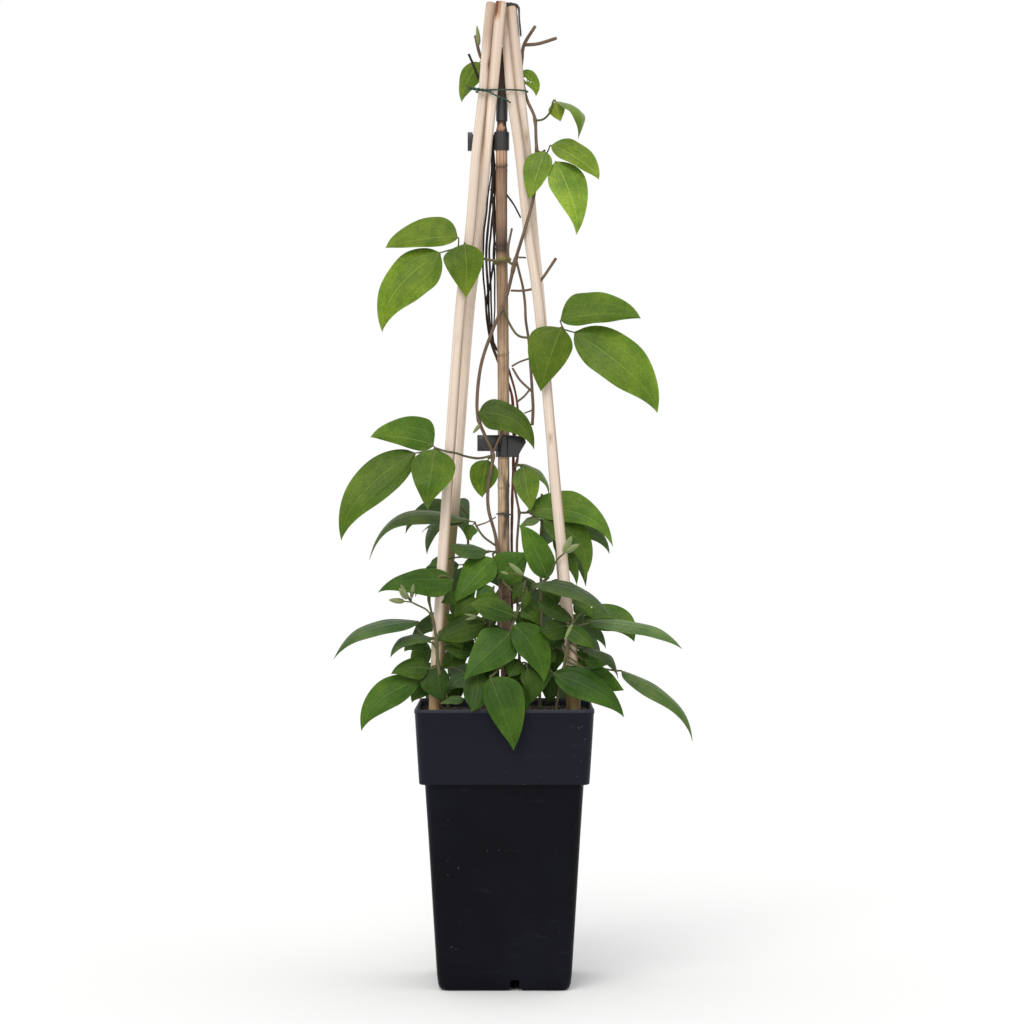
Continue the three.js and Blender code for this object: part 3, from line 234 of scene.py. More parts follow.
def makeLeafMaterial(name, under):
    s = leafFinish
    material, tree, shader = newMaterial(name, 0.4)
    veins = useGroup(tree, veinGroup, Share=readAttribute(tree, "leafShare"), Place=objectPlace(tree))
    tone = readAttribute(tree, "leafTone", "Color")
    patches = fade(tree, cloud(tree, objectPlace(tree), 55.0, 4.0, 0.6), 0.3, 0.75)
    grain = cloud(tree, objectPlace(tree), 760.0, 2.0, 0.7)
    base = mixColour(tree, patches, tinted(tree, tone, s["patchDark"]), tinted(tree, tone, s["patchLight"]))
    base = mixColour(tree, fade(tree, grain, 0.42, 0.62, 0.0, 0.62), base, tinted(tree, base, s["speckle"]))
    if under:
        base = mixColour(tree, 0.6, base, s["under"])
    vein = tinted(tree, tone, s["vein"])
    fine = calc(tree, "MAXIMUM", times(tree, veins["Loops"], 0.3), times(tree, veins["Net"], 0.16))
    main = times(tree, veins["Main"], s["main"])
    base = mixColour(tree, fine, base, tinted(tree, tone, s["net"]))
    base = mixColour(tree, times(tree, veins["Side"], s["side"]), base, vein)
    sunk = calc(tree, "ADD", times(tree, veins["Quilt"], 0.6), times(tree, veins["Net"], -0.06))
    sunk = calc(tree, "SUBTRACT", sunk, times(tree, main, 0.5))
    if under:
        sunk = times(tree, sunk, -1.0)
    setInputs(tree, shader, {
        "Base Color": mixColour(tree, main, base, vein),
        "Roughness": fade(tree, patches, 0.0, 1.0, 0.38, 0.5),
        "Normal": raised(tree, sunk, 0.5, 0.0007, raised(tree, grain, 0.12, 0.0003)), **s["sheen"],
    })
    return material


# wood and bark: how the grain is squeezed across and along, its two tones, layers of (mask, share, tone)
# over them, the roughness (over a mask where one is named), the relief and the gloss
fibreFinishes = {
    "stemBark": {"grain": (1.8, 0.12), "low": (0.55, 0.5, 0.46), "high": (1.4, 1.38, 1.36), "rough": 0.6,
                 "layers": [("Fibres", 0.4, (0.55, 0.5, 0.46))], "relief": ("Grain", 0.5, 0.0002),
                 "gloss": 0.2},
    "paleCane": {"grain": (1.5, 0.008), "low": (0.585, 0.48, 0.385), "high": (0.765, 0.66, 0.565),
                 "layers": [("Fibres", 0.35, (0.44, 0.33, 0.235)), ("Blotches", 0.3, (0.62, 0.49, 0.38))],
                 "rough": ("Fibres", 0.5, 0.66), "relief": ("Fibres", 0.35, 0.00015), "gloss": 0.25},
    "brownBamboo": {"grain": (1.3, 0.02), "low": (0.5, 0.42, 0.36), "high": (1.2, 1.16, 1.1),
                    "layers": [("Blotches", 0.45, (0.5, 0.42, 0.36))], "rough": ("Grain", 0.62, 0.42),
                    "relief": ("Fibres", 0.3, 0.00015), "gloss": 0.25},
    "deadBark": {"grain": (2.4, 0.1), "low": (0.008, 0.006, 0.005), "high": (0.04, 0.027, 0.021), "rough": 0.75,
                 "layers": [("Blotches", 0.4, (0.07, 0.045, 0.035))], "relief": ("Grain", 0.7, 0.0003),
                 "gloss": 0.15},
}


def makeFibreMaterial(name):
    s = fibreFinishes[name]
    material, tree, shader = newMaterial(name, 0.5)
    across, along = s["grain"]
    grain = useGroup(tree, grainGroup, Place=readAttribute(tree, "tubePlace"), Across=across, Along=along)
    base = mixColour(tree, grain["Grain"], s["low"], s["high"])
    for mask, share, tone in s["layers"]:
        base = mixColour(tree, times(tree, grain[mask], share), base, tone)
    rough = s["rough"]
    if isinstance(rough, tuple):
        rough = fade(tree, grain[rough[0]], 0.0, 1.0, *rough[1:])
    mask, strength, distance = s["relief"]
    setInputs(tree, shader, {
        "Base Color": tinted(tree, base, readAttribute(tree, "tubeTone", "Color")), "Roughness": rough,
        "Normal": raised(tree, grain[mask], strength, distance), "Specular IOR Level": s["gloss"],
    })
    return material


def makeBudMaterial():
    material, tree, shader = newMaterial("budDown", 0.8)
    down = cloud(tree, objectPlace(tree), 1500.0, 3.0, 0.7)
    tone = readAttribute(tree, "tubeTone", "Color")
    setInputs(tree, shader, {
        "Base Color": mixColour(tree, fade(tree, down, 0.35, 0.68), tinted(tree, tone, (0.6, 0.66, 0.5)), tone),
        "Normal": raised(tree, down, 0.8, 0.0003), "Sheen Weight": 0.5,
    })
    return material


# plastics: two tones, roughness, how strong the specks are, gloss, and the pot's rim: its height in metres
# and tone
plasticFinishes = {
    "potPlastic": ((0.0034, 0.0036, 0.0054), (0.006, 0.0064, 0.0095), 0.36, 0.5, 0.06,
                   0.139, (0.0095, 0.0098, 0.0165)),
    "blackPlastic": ((0.011, 0.011, 0.012), (0.027, 0.027, 0.03), 0.34, 0.3, 0.55),
    "wireCoating": ((0.012, 0.035, 0.024), (0.03, 0.075, 0.05), 0.4, 0.2, 0.3),
}
# the rim's top edge: where its painted highlight runs, its share and tone; then specks and scuffs of wear
plasticHighlightAndWear = {"rimEdge": (0.1865, 0.1875, 0.5, (0.05, 0.052, 0.06)), "speck": (0.22, 0.22, 0.24),
               "scuff": (0.05, (0.12, 0.12, 0.14))}


def makePlasticMaterial(name):
    low, high, roughness, speckShare, gloss, *rim = plasticFinishes[name]
    material, tree, shader = newMaterial(name, roughness)
    place = objectPlace(tree)
    specks = useGroup(tree, speckGroup, Place=place)
    base = mixColour(tree, specks["Film"], low, high)
    if rim:
        height = addNode(tree, "SeparateXYZ", {0: place}).outputs[2]
        base = mixColour(tree, fade(tree, height, rim[0] - 0.0006, rim[0] + 0.0006), base, rim[1])
        # painted highlight: a thin lighter line along the top edge of the rim
        edgeLow, edgeHigh, share, tone = plasticHighlightAndWear["rimEdge"]
        base = mixColour(tree, times(tree, fade(tree, height, edgeLow, edgeHigh), share), base, tone)
    base = mixColour(tree, times(tree, specks["Speck"], speckShare), base, plasticHighlightAndWear["speck"])
    share, tone = plasticHighlightAndWear["scuff"]
    film = fade(tree, specks["Film"], 0.0, 1.0, roughness - 0.06, roughness + 0.08)
    setInputs(tree, shader, {
        "Base Color": mixColour(tree, times(tree, specks["Scuff"], share), base, tone),
        "Roughness": calc(tree, "ADD", film, times(tree, specks["Scuff"], 0.12)),
        "Normal": raised(tree, cloud(tree, place, 1300.0, 2.0), 0.12, 0.00012), "Specular IOR Level": gloss,
    })
    return material


def makePeatMaterial(name, low, high):
    material, tree, shader = newMaterial(name, 0.95)
    crumbs = cloud(tree, objectPlace(tree), 380.0, 5.0, 0.7)
    patches = cloud(tree, objectPlace(tree), 70.0, 3.0, 0.6)
    base = mixColour(tree, fade(tree, crumbs, 0.35, 0.68), low, high)
    setInputs(tree, shader, {
        "Base Color": mixColour(tree, fade(tree, patches, 0.5, 0.8, 0.0, 0.4), base, (0.05, 0.045, 0.02)),
        "Normal": raised(tree, crumbs, 0.9, 0.0012),
    })
    return material


leafTop = makeLeafMaterial("leafTop", False)
leafUnder = makeLeafMaterial("leafUnder", True)
budDown = makeBudMaterial()
stemBark, paleCane, brownBamboo, deadBark = (makeFibreMaterial(name) for name in fibreFinishes)
potPlastic, blackPlastic, wireCoating = (makePlasticMaterial(name) for name in plasticFinishes)
darkPeat = makePeatMaterial("darkPeat", (0.008, 0.006, 0.004), (0.05, 0.035, 0.024))
barkChip = makePeatMaterial("barkChip", (0.03, 0.018, 0.01), (0.15, 0.09, 0.05))
print("materials made")

# the lines that the solids follow, in millimetres. Each shoot has stems as (points, start radius, end radius),
# leaflets, small dark leaflets low in the shade, and buds as (root, tip, radius).
# A leaflet: root, tip, width, face, arch, hook, bend, then where they differ from leafDefaults its neck,
# the points of its own stalk up to the root, the stalk's radii, and its form: widest place, fullness of the
# outer part, how much wider one side is, lightness, its own tone with painted light and shade for how it lies
leafDefaults = (2, (), (0.7, 0.6), None)
# a shade leaflet: two points of its stalk, root, tip, width, face, bend, and a form where it has one
shoots = {}
shoots["climbing_stem"] = {"stems": [
    ([(12, 8, 634.5), (11.5, 8.5, 626), (12.5, 9, 616.5), (15.5, 6, 602.5), (20.5, 1, 590), (21.5, -2, 575.5),
      (22, -6.5, 556.5), (20, -12.5, 535), (15.5, -17, 517), (7.5, -10, 491.5), (1, -7.5, 465.5), (-8, -8, 444),
      (-15.5, -8.5, 422), (-18.5, -8.5, 399.5), (-18, -9, 384.5), (-12, -9, 369), (-8, -8, 359),
      (-11, -8.5, 339), (-11, -8, 322.5), (-6, -7.5, 303), (-3, -10, 277), (-4.5, -16, 226.5),
      (-4.5, -18, 169)], 1.1, 1.3),
    ([(12, 8, 634.5), (13.5, 8, 641), (21, 6, 653)], 1.3, 1.2),
    ([(13.5, 8, 640.5), (23, 9, 641.5), (35.5, 10, 645.5)], 1.3, 1.2),
    ([(12, 8.5, 630.5), (6, 13.5, 626.5), (-2.5, 15.5, 625.5), (-10.5, 13.5, 627), (-16, 10.5, 632),
      (-20, 9, 647)], 1.1, 1.2),
    ([(3, -7, 490.5), (2.5, -7.5, 499.5), (5, -6.5, 513)], 0.9, 0.8),
    ([(8, -10, 491.5), (10, -6, 483.5), (12.5, -3, 473.5), (14, -2, 462), (14.5, -2, 451), (16.5, -2, 437.5),
      (18, -2, 416.5), (19, -2, 400.5), (19.5, -2, 391.5), (19, -2, 379.5)], 0.9, 1.1),
    ([(4.5, -4, 471), (12.5, -3.5, 471), (20, -6, 472.5), (25, -7, 478), (35, -9, 492.5)], 0.8, 1.1),
    ([(9, -11.5, 493), (14.5, -9, 493)], 0.7, 0.6),
    ([(17.5, -2, 425), (10.5, -3, 422.5), (5, -2.5, 419.5)], 0.7, 0.7),
    ([(5.5, -5, 418), (10.5, -4, 410), (18.5, -2, 402.5)], 0.8, 0.9),
    ([(17.5, -2.5, 404), (13.5, -4, 399), (8.5, -5, 395)], 0.8, 0.8),
    ([(19, -2, 389.5), (13.5, -3, 387.5)], 0.6, 0.5),
    ([(-1.5, -10.5, 375), (-5, -9.5, 367), (-8, -8.5, 360)], 0.8, 0.8),
    ([(-19.5, -9, 310.5), (-12, -8, 313), (-6, -6.5, 316.5)], 0.6, 0.5),
], "leaflets": [
    ((-15.5, 11.5, 631), (-29.5, 16, 602.5), 17, (-0.4, -0.9, 0.3), 0.05, 0, -0.05, 3.5),
    ((10.5, 9, 623.5), (21.5, 9, 605.5), 11.5, (0.3, -0.9, 0.3), 0.05, 0.05, 0.12),
    ((34.5, -8, 600.5), (38, -10, 585.5), 13, (-0.5, -0.8, 0.2), 0.05, 0, 0),
    ((35, -8, 599), (50, -15, 573.5), 22, (0.75, -0.45, 0.35), 0.3, 0.05, 0, 2, [(21, 0, 587.5),
     (26.5, -3, 588), (31.5, -7, 593), (33.5, -8, 600.5)], (0.8, 0.7)),
    ((27.5, -9.5, 566), (17.5, -15, 532), 19.3, (-0.15, -1, 0.3), 0.06, 0, 0.01, 2, [(21.5, -5, 567),
     (25, -8, 564.5)], (0.9, 0.8), (0.23, 2.07, 0.2, 0.85)),
    ((31, -9, 569.5), (64, -14, 545.5), 19.6, (0.1, -0.8, 0.55), 0.07, 0.01, 0.03, 2, [(28.5, -9.5, 563.5),
     (30, -9, 566.5)], (0.6, 0.5), (0.24, 2.89, -0.42, 0.96)),
    ((34.5, -10, 558.5), (48.5, -19, 507.5), 26.3, (0.15, -1, 0.2), 0.06, 0.04, 0.04, 2, (), (0.7, 0.6),
     (0.29, 1.56, -0.14, 1.13)),
    ((-31, -19, 505.5), (-80, -26, 498), 24.6, (-0.1, -0.9, 0.45), 0, -0.05, -0.07, 2, [(-31.5, -18.5, 498.5),
     (-31, -18.5, 502)], (0.6, 0.5), (0.22, 2.29, 0.52, 0.81)),
    ((-43.5, -18.5, 495.5), (-82.5, -24, 441.5), 33.3, (-0.25, -0.95, 0.2), 0.06, 0.05, -0.09, 2,
     [(-32.5, -19, 498.5), (-38, -18.5, 497)], (0.6, 0.5), (0.29, 1.86, -0.04, 0.99)),
    ((-27, -20.5, 502), (-25.5, -25, 464.5), 27.3, (0, -1, 0.25), 0.05, 0, 0.02, 2, [(6.5, -9, 487.5),
     (2.5, -7, 490.5), (-4, -7.5, 491), (-10.5, -8.5, 491.5), (-18, -14.5, 493), (-25.5, -18.5, 496)],
     (0.9, 0.8), (0.23, 1.56, 0.13, 0.7)),
    ((37.5, -27, 449), (91.5, -33, 450), 25.2, (0.1, -0.9, 0.45), 0.06, -0.01, 0.03, 2, [(40, -27, 443),
     (38.5, -27, 446)], (0.6, 0.5), (0.21, 2.95, -0.55, 0.81)),
    ((47.5, -26, 441), (102.5, -37, 386.5), 35, (0.25, -0.95, 0.2), 0.06, 0.05, 0.03, 2, [(40, -27, 443),
     (43.5, -26.5, 442)], (0.6, 0.5), (0.35, 2.15, -0.19, 1.2)),
    ((39, -28, 444.5), (24.5, -32, 401), 30.2, (0, -1, 0.22), 0.05, 0, -0.02, 2, [(-1, -8, 459), (3.5, -8, 448),
     (9, -12, 440), (16, -18, 438), (22.5, -24.5, 438.5), (32, -27.5, 441.5)], (0.9, 0.8),
     (0.24, 1.8, 0.21, 0.89)),
    ((-47, -35, 364), (-89.5, -42, 370), 25.1, (-0.1, -0.9, 0.45), 0.02, -0.05, -0.07, 2, [(-47.5, -35.5, 361),
     (-47, -35.5, 362.5)], (0.6, 0.5), (0.18, 2.01, 0.53, 0.93)),
    ((-60, -34.5, 359.5), (-109, -42, 301), 29.5, (-0.25, -0.95, 0.2), 0.06, 0.05, -0.08, 2,
     [(-48, -35.5, 361.5), (-54, -35, 360.5)], (0.6, 0.5), (0.36, 1.77, 0.04, 0.92)),
    ((-46.5, -36.5, 363), (-51, -41, 321.5), 29.7, (0, -1, 0.22), 0.05, 0.29, 0, 2, [(-8, -8.5, 358.5),
     (-16.5, -14, 356.5), (-26, -27, 357.5), (-32.5, -34, 359.5), (-40.5, -37, 361)], (0.9, 0.8),
     (0.25, 1.75, -0.04, 0.82)),
    ((-18.5, -10.5, 387.5), (20, -16, 362.5), 21.6, (0.05, -1, 0.35), 0.06, 0.05, 0.16, 2, [(-17.5, -9, 382.5),
     (-18, -10, 385)], (0.6, 0.5), (0.17, 2, -0.01, 0.61)),
    ((-11, -5.5, 356.5), (-15, -6.5, 330), 19.7, (-0.1, -1, 0.2), 0.04, 0, -0.03, 2, [(-8.5, -8, 357.5)],
     (0.8, 0.7), (0.31, 2.07, 0.07, 1.06)),
    ((-20, -9, 313), (-92, -4, 287.5), 19, (-0.1, -0.5, 0.85), 0.2, 0.1, 0, 8, [(-6.5, -7.5, 297.5),
     (-14, -9, 303), (-18, -9.5, 308.5), (-20.5, -9, 313.5)], (0.8, 0.8)),
    ((-19.5, -9, 313), (-56.5, 4, 306), 13, (0, -0.42, 0.9), 0.1, 0.05, 0, 5.5),
    ((-20.5, -9.5, 312.5), (-22.5, -13, 300.5), 10, (-0.25, -1, -0.1), 0.05, 0, -0.15),
    ((-39, -12, 287.5), (-51.5, -14, 282.5), 9, (-0.1, -0.7, 0.7), 0.2, 0, 0, 2, [(-10, -9.5, 293),
     (-23.5, -8.5, 290), (-37, -10.5, 288.5)]),
    ((-7.5, -13, 289), (-36.5, -28, 258), 23.8, (-0.1, -1, 0.35), 0.06, 0, 0.01, 2, [(-4, -8, 293.5),
     (-8, -11, 291.5)], (0.8, 0.8), (0.26, 1.26, 0.13, 1.52)),
    ((-11.5, -9, 293.5), (-37, -20, 298.5), 13.8, (0, -0.75, 0.65), 0.06, -0.05, 0.06, 2, [(-4.5, -8, 294),
     (-7, -8.5, 293)], (0.7, 0.7), (0.5, 2.91, -0.23, 0.99)),
], "buds": [
    ((-17.5, 9, 640.5), (-19, 8, 654), 1.6), ((-16, -9, 380), (-21.5, -10, 373.5), 1.5),
]}
shoots["right_stem"] = {"stems": [
    ([(10, 4, 372), (9, 3, 357), (7, 2, 348.5), (7, 1, 336.5), (9, 0, 325.5), (10, 0, 320), (9.5, 1, 312),
      (8.5, 2, 297.5), (9, 2, 277), (9, 0, 253), (10, -3, 226), (10.5, -6, 192), (10.5, -6, 168)], 0.8, 1.1),
], "leaflets": [
    ((12.5, -3, 352), (17.5, -11, 320.5), 18.4, (0.1, -1, 0.25), 0.05, 0, 0, 2, [(7, 2, 347.5), (7, 0, 351)],
     (0.8, 0.7), (0.29, 1.77, -0.04, 1.15)),
    ((8.5, 3, 353), (30.5, 6, 330.5), 14, (0.1, -0.35, 0.95), 0.16, 0.06, 0, 2, [(8, 2.5, 354)], (0.8, 0.7)),
    ((15.5, -4, 320.5), (73.5, -14, 296.5), 26, (0.15, -0.85, 0.5), 0.08, 0.06, 0.13, 2, [(10, 0, 319.5),
     (13.5, -2, 319.5), (17.5, -4, 319.5), (21.5, -6, 316.5)], (0.9, 0.8), (0.37, 1.27, -0.36, 1.18)),
    ((25, -8, 315), (54, -16, 274), 23, (0.2, -0.95, 0.25), 0.05, 0.02, 0.22),
    ((33, 1, 303.5), (49, -4, 270), 12, (0.3, -0.9, 0.1), 0.05, 0, 0.08, 2, [(19.5, -4.5, 318), (27, -3, 312)]),
], "shadeLeaflets": [
    ((25, -7, 315), (25, -6, 318), (25, -7, 316.5), (10, -6, 310), 10, (0, -0.6, 0.8), 0.05),
]}
shoots["front_shoot"] = {"stems": [
    ([(30, -24.5, 276), (24.5, -27, 272), (19, -30, 268), (13, -34, 260.5), (7, -40, 249), (4, -43, 239),
      (2.5, -40, 217.5), (2.5, -34, 194), (2.5, -33, 170)], 0.8, 1.1),
    ([(21.5, -29, 270), (17, -32, 274.5), (12.5, -34, 277), (7, -36, 282)], 0.7, 0.6),
    ([(12.5, -34, 277), (6, -36, 278.5), (1, -37, 279)], 0.6, 0.5),
    ([(27.5, -26, 274), (31.5, -31, 279.5), (35, -38.5, 287.5), (41, -41, 293.5)], 0.7, 0.6),
], "leaflets": [
    ((4.5, -46, 240), (-26.5, -60.5, 208.5), 29.8, (-0.1, -1, 0.3), 0.06, 0, 0.01, 2, [(4, -43, 236.5),
     (2.5, -45.5, 238.5)], (0.8, 0.7), (0.25, 1.45, 0.05, 0.95)),
    ((5.5, -46, 245), (26, -56, 207), 23.5, (0.15, -1, 0.3), 0.1, -0.04, 0.09, 2, [(4, -43, 239),
     (5.5, -45, 241.5)], (0.8, 0.7), (0.32, 1.72, -0.09, 0.86)),
    ((-9.5, -60.5, 211), (6, -68, 163), 26.9, (0, -1, 0.25), 0.06, 0.02, 0.01, 2, [(2.5, -40, 216.5),
     (-3, -50, 216), (-7, -58, 212.5)], (0.9, 0.8), (0.23, 1.99, -0.3, 0.93)),
    ((15, -50, 217), (17.5, -55, 193), 22, (0.15, -1, 0.1), 0.09, 0.01, 0.03, 2, [(2.5, -39, 213),
     (9, -45, 218.5), (14.5, -48.5, 219.5)], (0.8, 0.7), (0.21, 1.27, -0.45, 0.56)),
    ((10.5, -43, 222.5), (3, -50, 210), 14, (0, -1, 0.2), 0.04, 0, 0, 2, [(2.5, -38.5, 211.5),
     (6.5, -41, 218.5)], (0.7, 0.7)),
    ((8, -42, 250), (-23, -50, 258), 16.2, (-0.1, -0.95, 0.4), 0.05, 0.02, -0.03, 2, [(7, -40, 249),
     (6, -41.5, 248.5)], (0.8, 0.7), (0.5, 2.06, -0.03, 0.96)),
    ((-5, -16, 274.5), (16, -20, 293), 26, (0, -1, 0.3), 0.04, 0, 0, 2, [(13, -34, 260.5), (6.5, -26, 266),
     (-0.5, -17.5, 272.5), (-2.5, -16, 276)], (0.8, 0.7)),
    ((29.5, -24, 274.5), (10, -24, 311), 18.4, (0.05, -1, 0.15), 0.05, 0, -0.03, 2, (), (0.7, 0.6),
     (0.29, 2.44, 0.07, 1.57)),
    ((19.5, -36, 272), (71.5, -56, 250.5), 17.2, (0.15, -0.62, 0.8), 0.14, 0.02, -0.02, 2, [(19, -30, 268),
     (18, -33, 268.5)], (0.9, 0.8), (0.31, 2.26, 0, 0.95)),
], "shadeLeaflets": [
    ((2.5, -40, 215.5), (-0.5, -38, 222), (-3, -38, 224), (-20.5, -40, 210.5), 17, (-0.2, -0.8, 0.6), -0.1),
    ((2.5, -39, 213), (5.5, -37.5, 216), (8.5, -38, 215.5), (24.5, -40, 201), 16, (0.2, -0.8, 0.6), 0.1),
    ((2.5, -42, 234.5), (1.5, -37, 240), (0.5, -34, 242), (-12.5, -36, 227.5), 18, (-0.1, -0.9, 0.4), -0.05),
    ((4, -42, 237), (8, -38, 243), (12, -36, 245), (24.5, -38, 226), 17, (0.2, -0.9, 0.4), 0.08),
    ((7, -39, 249), (9, -35, 255.5), (10.5, -33, 258), (22.5, -36, 243.5), 15, (0.2, -0.8, 0.5), 0.1),
    ((2.5, -35, 200.5), (4, -34.5, 206), (5, -36, 207.5), (15, -42, 186.5), 15, (0.1, -0.9, 0.3), 0.05),
    ((7, -39, 249), (7, -33.5, 253), (7, -30, 252.5), (18.5, -32, 241.5), 12, (0, -0.9, 0.4), 0.05),
    ((2.5, -39, 213), (5, -34.5, 216.5), (8, -32, 216), (6.5, -36, 203.5), 9, (0, -0.9, 0.3), 0.05),
    ((13, -40, 269), (14, -38, 273.5), (14.5, -38, 274), (6, -38, 260.5), 9, (-0.2, -0.9, 0.3), -0.05,
     (0.3, 1.6, 0, 0.6)),
    ((12.5, -40, 266.5), (14, -38.5, 270), (15, -39, 269), (12, -40, 255), 7, (0.1, -0.9, 0.3), 0.05,
     (0.3, 1.6, 0, 0.6)),
], "buds": [
    ((12.5, -34, 277.5), (3, -37, 286), 1.75), ((2.5, -37, 278.5), (-2.5, -37.5, 280), 0.9),
    ((39.5, -40.5, 292.5), (45, -43, 304), 2.2), ((40, -40.5, 293), (50, -44, 298.5), 2.1),
]}
shoots["middle_shoot"] = {"stems": [
    ([(-9.5, -36, 245.5), (-11.5, -35, 234), (-15, -35, 217.5), (-17, -36, 194), (-17.5, -36, 170.5)], 0.8, 1),
    ([(-10.5, -35.5, 241), (-15, -38, 248.5), (-19, -40, 250)], 0.6, 0.5),
], "leaflets": [
    ((-10.5, -36, 246), (-44.5, -43, 233.5), 18.4, (0, -0.95, 0.4), 0.05, 0, -0.03, 2, [(-9.5, -36, 244),
     (-11.5, -36.5, 246.5)], (0.8, 0.7), (0.41, 2.06, 0.03, 0.56)),
    ((-21, -32, 224.5), (-41, -36, 230), 11, (0, -0.95, 0.3), 0.04, 0, 0, 2, [(-15, -35, 219.5),
     (-19, -33, 224)], (0.7, 0.7)),
    ((-25.5, -50, 195.5), (-43, -53, 192.5), 9, (0, -0.6, 0.8), 0.1, 0, 0, 2, [(-17, -36, 198),
     (-20.5, -45, 201), (-25, -50, 197)]),
    ((-17.5, -50, 214), (-22, -63, 188), 17.8, (-0.1, -1, 0.2), 0.04, 0.01, 0.06, 2, [(-15.5, -36, 208.5),
     (-15.5, -45, 213)], (0.8, 0.7), (0.38, 2.61, 0.07, 0.65)),
    ((-3, -34, 257), (-17.5, -38, 264.5), 14, (0, -0.95, 0.4), 0.04, 0, 0, 2, [(-10, -36, 243.5),
     (-5, -35, 253), (-2.5, -34, 257.5)]),
], "shadeLeaflets": [
    ((-13.5, -35, 224), (-16.5, -30.5, 231), (-19, -28, 234), (-35.5, -30, 220.5), 18, (-0.2, -0.8, 0.5),
     -0.08),
    ((-11, -35, 237.5), (-13.5, -29.5, 251), (-16.5, -26, 260.5), (-33.5, -28, 248.5), 18, (-0.1, -0.9, 0.4),
     -0.06),
    ((-10.5, -36, 243), (-8.5, -29, 258.5), (-7, -24, 270), (-19, -26, 258), 15, (-0.1, -0.9, 0.4), 0),
    ((-17, -36, 200.5), (-20, -34, 207), (-23, -34, 210), (-37, -38, 199.5), 15, (-0.2, -0.7, 0.7), -0.1),
    ((-17, -36, 207.5), (-22, -30, 207.5), (-26.5, -26, 204), (-42, -28, 192), 13, (0, -0.8, 0.5), -0.05),
    ((-15, -36, 220.5), (-20, -28, 225.5), (-24.5, -22, 227), (-42, -24, 214), 15, (0, -0.9, 0.3), -0.05),
    ((-11, -35, 215.5), (-8, -31.5, 217), (-5, -30, 215), (-16.5, -34, 206), 12, (0, -0.9, 0.4), 0.05),
    ((-11, -35, 237.5), (-7.5, -28.5, 246.5), (-4.5, -24, 251), (-20.5, -26, 242.5), 10, (0, -0.9, 0.4), 0.05),
    ((-13.5, -35, 224), (-20, -27.5, 235), (-26, -22, 242.5), (-40, -22, 252), 11, (0, -0.9, 0.4), 0.05),
], "buds": [
    ((-17.5, -39, 249.5), (-27, -42, 252), 0.9), ((-18.5, -39.5, 249.5), (-26, -42, 248), 0.9),
]}
shoots["left_shoot"] = {"stems": [
    ([(-37, -43.5, 273), (-34.5, -43, 274.5), (-41.5, -45, 277.5), (-49, -46, 272), (-50.5, -44.5, 263.5),
      (-48.5, -44, 252), (-45.5, -45, 236), (-44.5, -46.5, 220.5), (-42.5, -47, 208), (-38, -47, 194.5),
      (-36.5, -45, 171)], 0.8, 1.1),
    ([(-47.5, -44, 248), (-51.5, -46, 254.5), (-57, -47, 257.5), (-62, -48, 260)], 0.7, 0.6),
    ([(-62, -48, 260), (-67, -49.5, 260.5)], 0.5, 0.5),
    ([(-62, -48, 260), (-65, -49, 263.5)], 0.5, 0.5),
    ([(-62, -48, 260), (-62, -48, 264)], 0.5, 0.5),
    ([(-62, -48, 260), (-64, -47, 264)], 0.5, 0.5),
], "leaflets": [
    ((-33.5, -43, 274.5), (-84, -52, 266.5), 22, (-0.1, -0.9, 0.45), 0.06, 0.06, -0.03, 2, (), (0.7, 0.6),
     (0.22, 1.75, -0.13, 0.8)),
    ((-57.5, -44, 247), (-113, -58, 222.5), 18.2, (-0.1, -0.55, 0.85), 0.11, 0.08, 0.02, 2, [(-45.5, -45, 236),
     (-52.5, -44, 236.5), (-59, -43.5, 244)], (0.8, 0.7), (0.33, 1.85, 0.07, 1.11)),
    ((-46.5, -45, 235), (-75.5, -56, 223.5), 11.4, (-0.1, -0.6, 0.8), 0.12, 0.05, -0.1, 2, [(-45.5, -45, 236)],
     (0.9, 0.8), (0.38, 2.11, 0.06, 0.92)),
    ((-49, -46, 215.5), (-75.5, -49, 212), 16, (-0.2, -0.95, 0.35), 0.05, 0, -0.08, 2, [(-44, -46.5, 218),
     (-47.5, -46, 216)], (0.8, 0.7)),
    ((-56, -44, 207.5), (-95, -52, 174.5), 21.5, (-0.2, -1, 0.3), 0.06, 0.04, -0.11, 2, [(-44, -46.5, 213.5),
     (-49.5, -45, 213), (-55.5, -43.5, 209)], (0.8, 0.7), (0.38, 1.8, 0.09, 1.3)),
    ((-44.5, -45, 219.5), (-40, -50, 195), 19.4, (0, -1, -0.05), 0.04, 0.02, -0.04, 2, [(-44.5, -46.5, 219.5),
     (-44.5, -45, 222)], (0.8, 0.7), (0.49, 1.62, 0.28, 0.56)),
], "shadeLeaflets": [
    ((-45.5, -45, 234.5), (-43, -39.5, 240.5), (-40.5, -36, 242), (-28.5, -36, 227.5), 16, (0.2, -0.8, 0.5),
     0.08),
    ((-45, -46, 228), (-48, -41, 232.5), (-51, -38, 233), (-67, -40, 226.5), 15, (-0.2, -0.7, 0.7), -0.1),
    ((-45, -44, 226.5), (-46, -38, 229), (-47.5, -34, 227.5), (-63, -32, 220.5), 17, (-0.2, -0.9, 0.3), -0.06),
    ((-45, -44, 214.5), (-47.5, -38, 212), (-50, -34, 206), (-62, -34, 192), 12, (-0.2, -0.9, 0.3), -0.06),
    ((-50.5, -44.5, 261.5), (-48, -39, 266), (-45, -36, 266.5), (-33, -34, 257), 13, (0.2, -0.8, 0.5), 0.08),
], "buds": [
    ((-66.5, -49.5, 260.5), (-77, -51, 261.5), 2), ((-64.5, -50, 262.5), (-69.5, -60, 269.5), 2.4),
    ((-64, -50, 262.5), (-68.5, -60, 272), 1.4), ((-62, -50, 262.5), (-60, -60, 272.5), 1.4),
]}
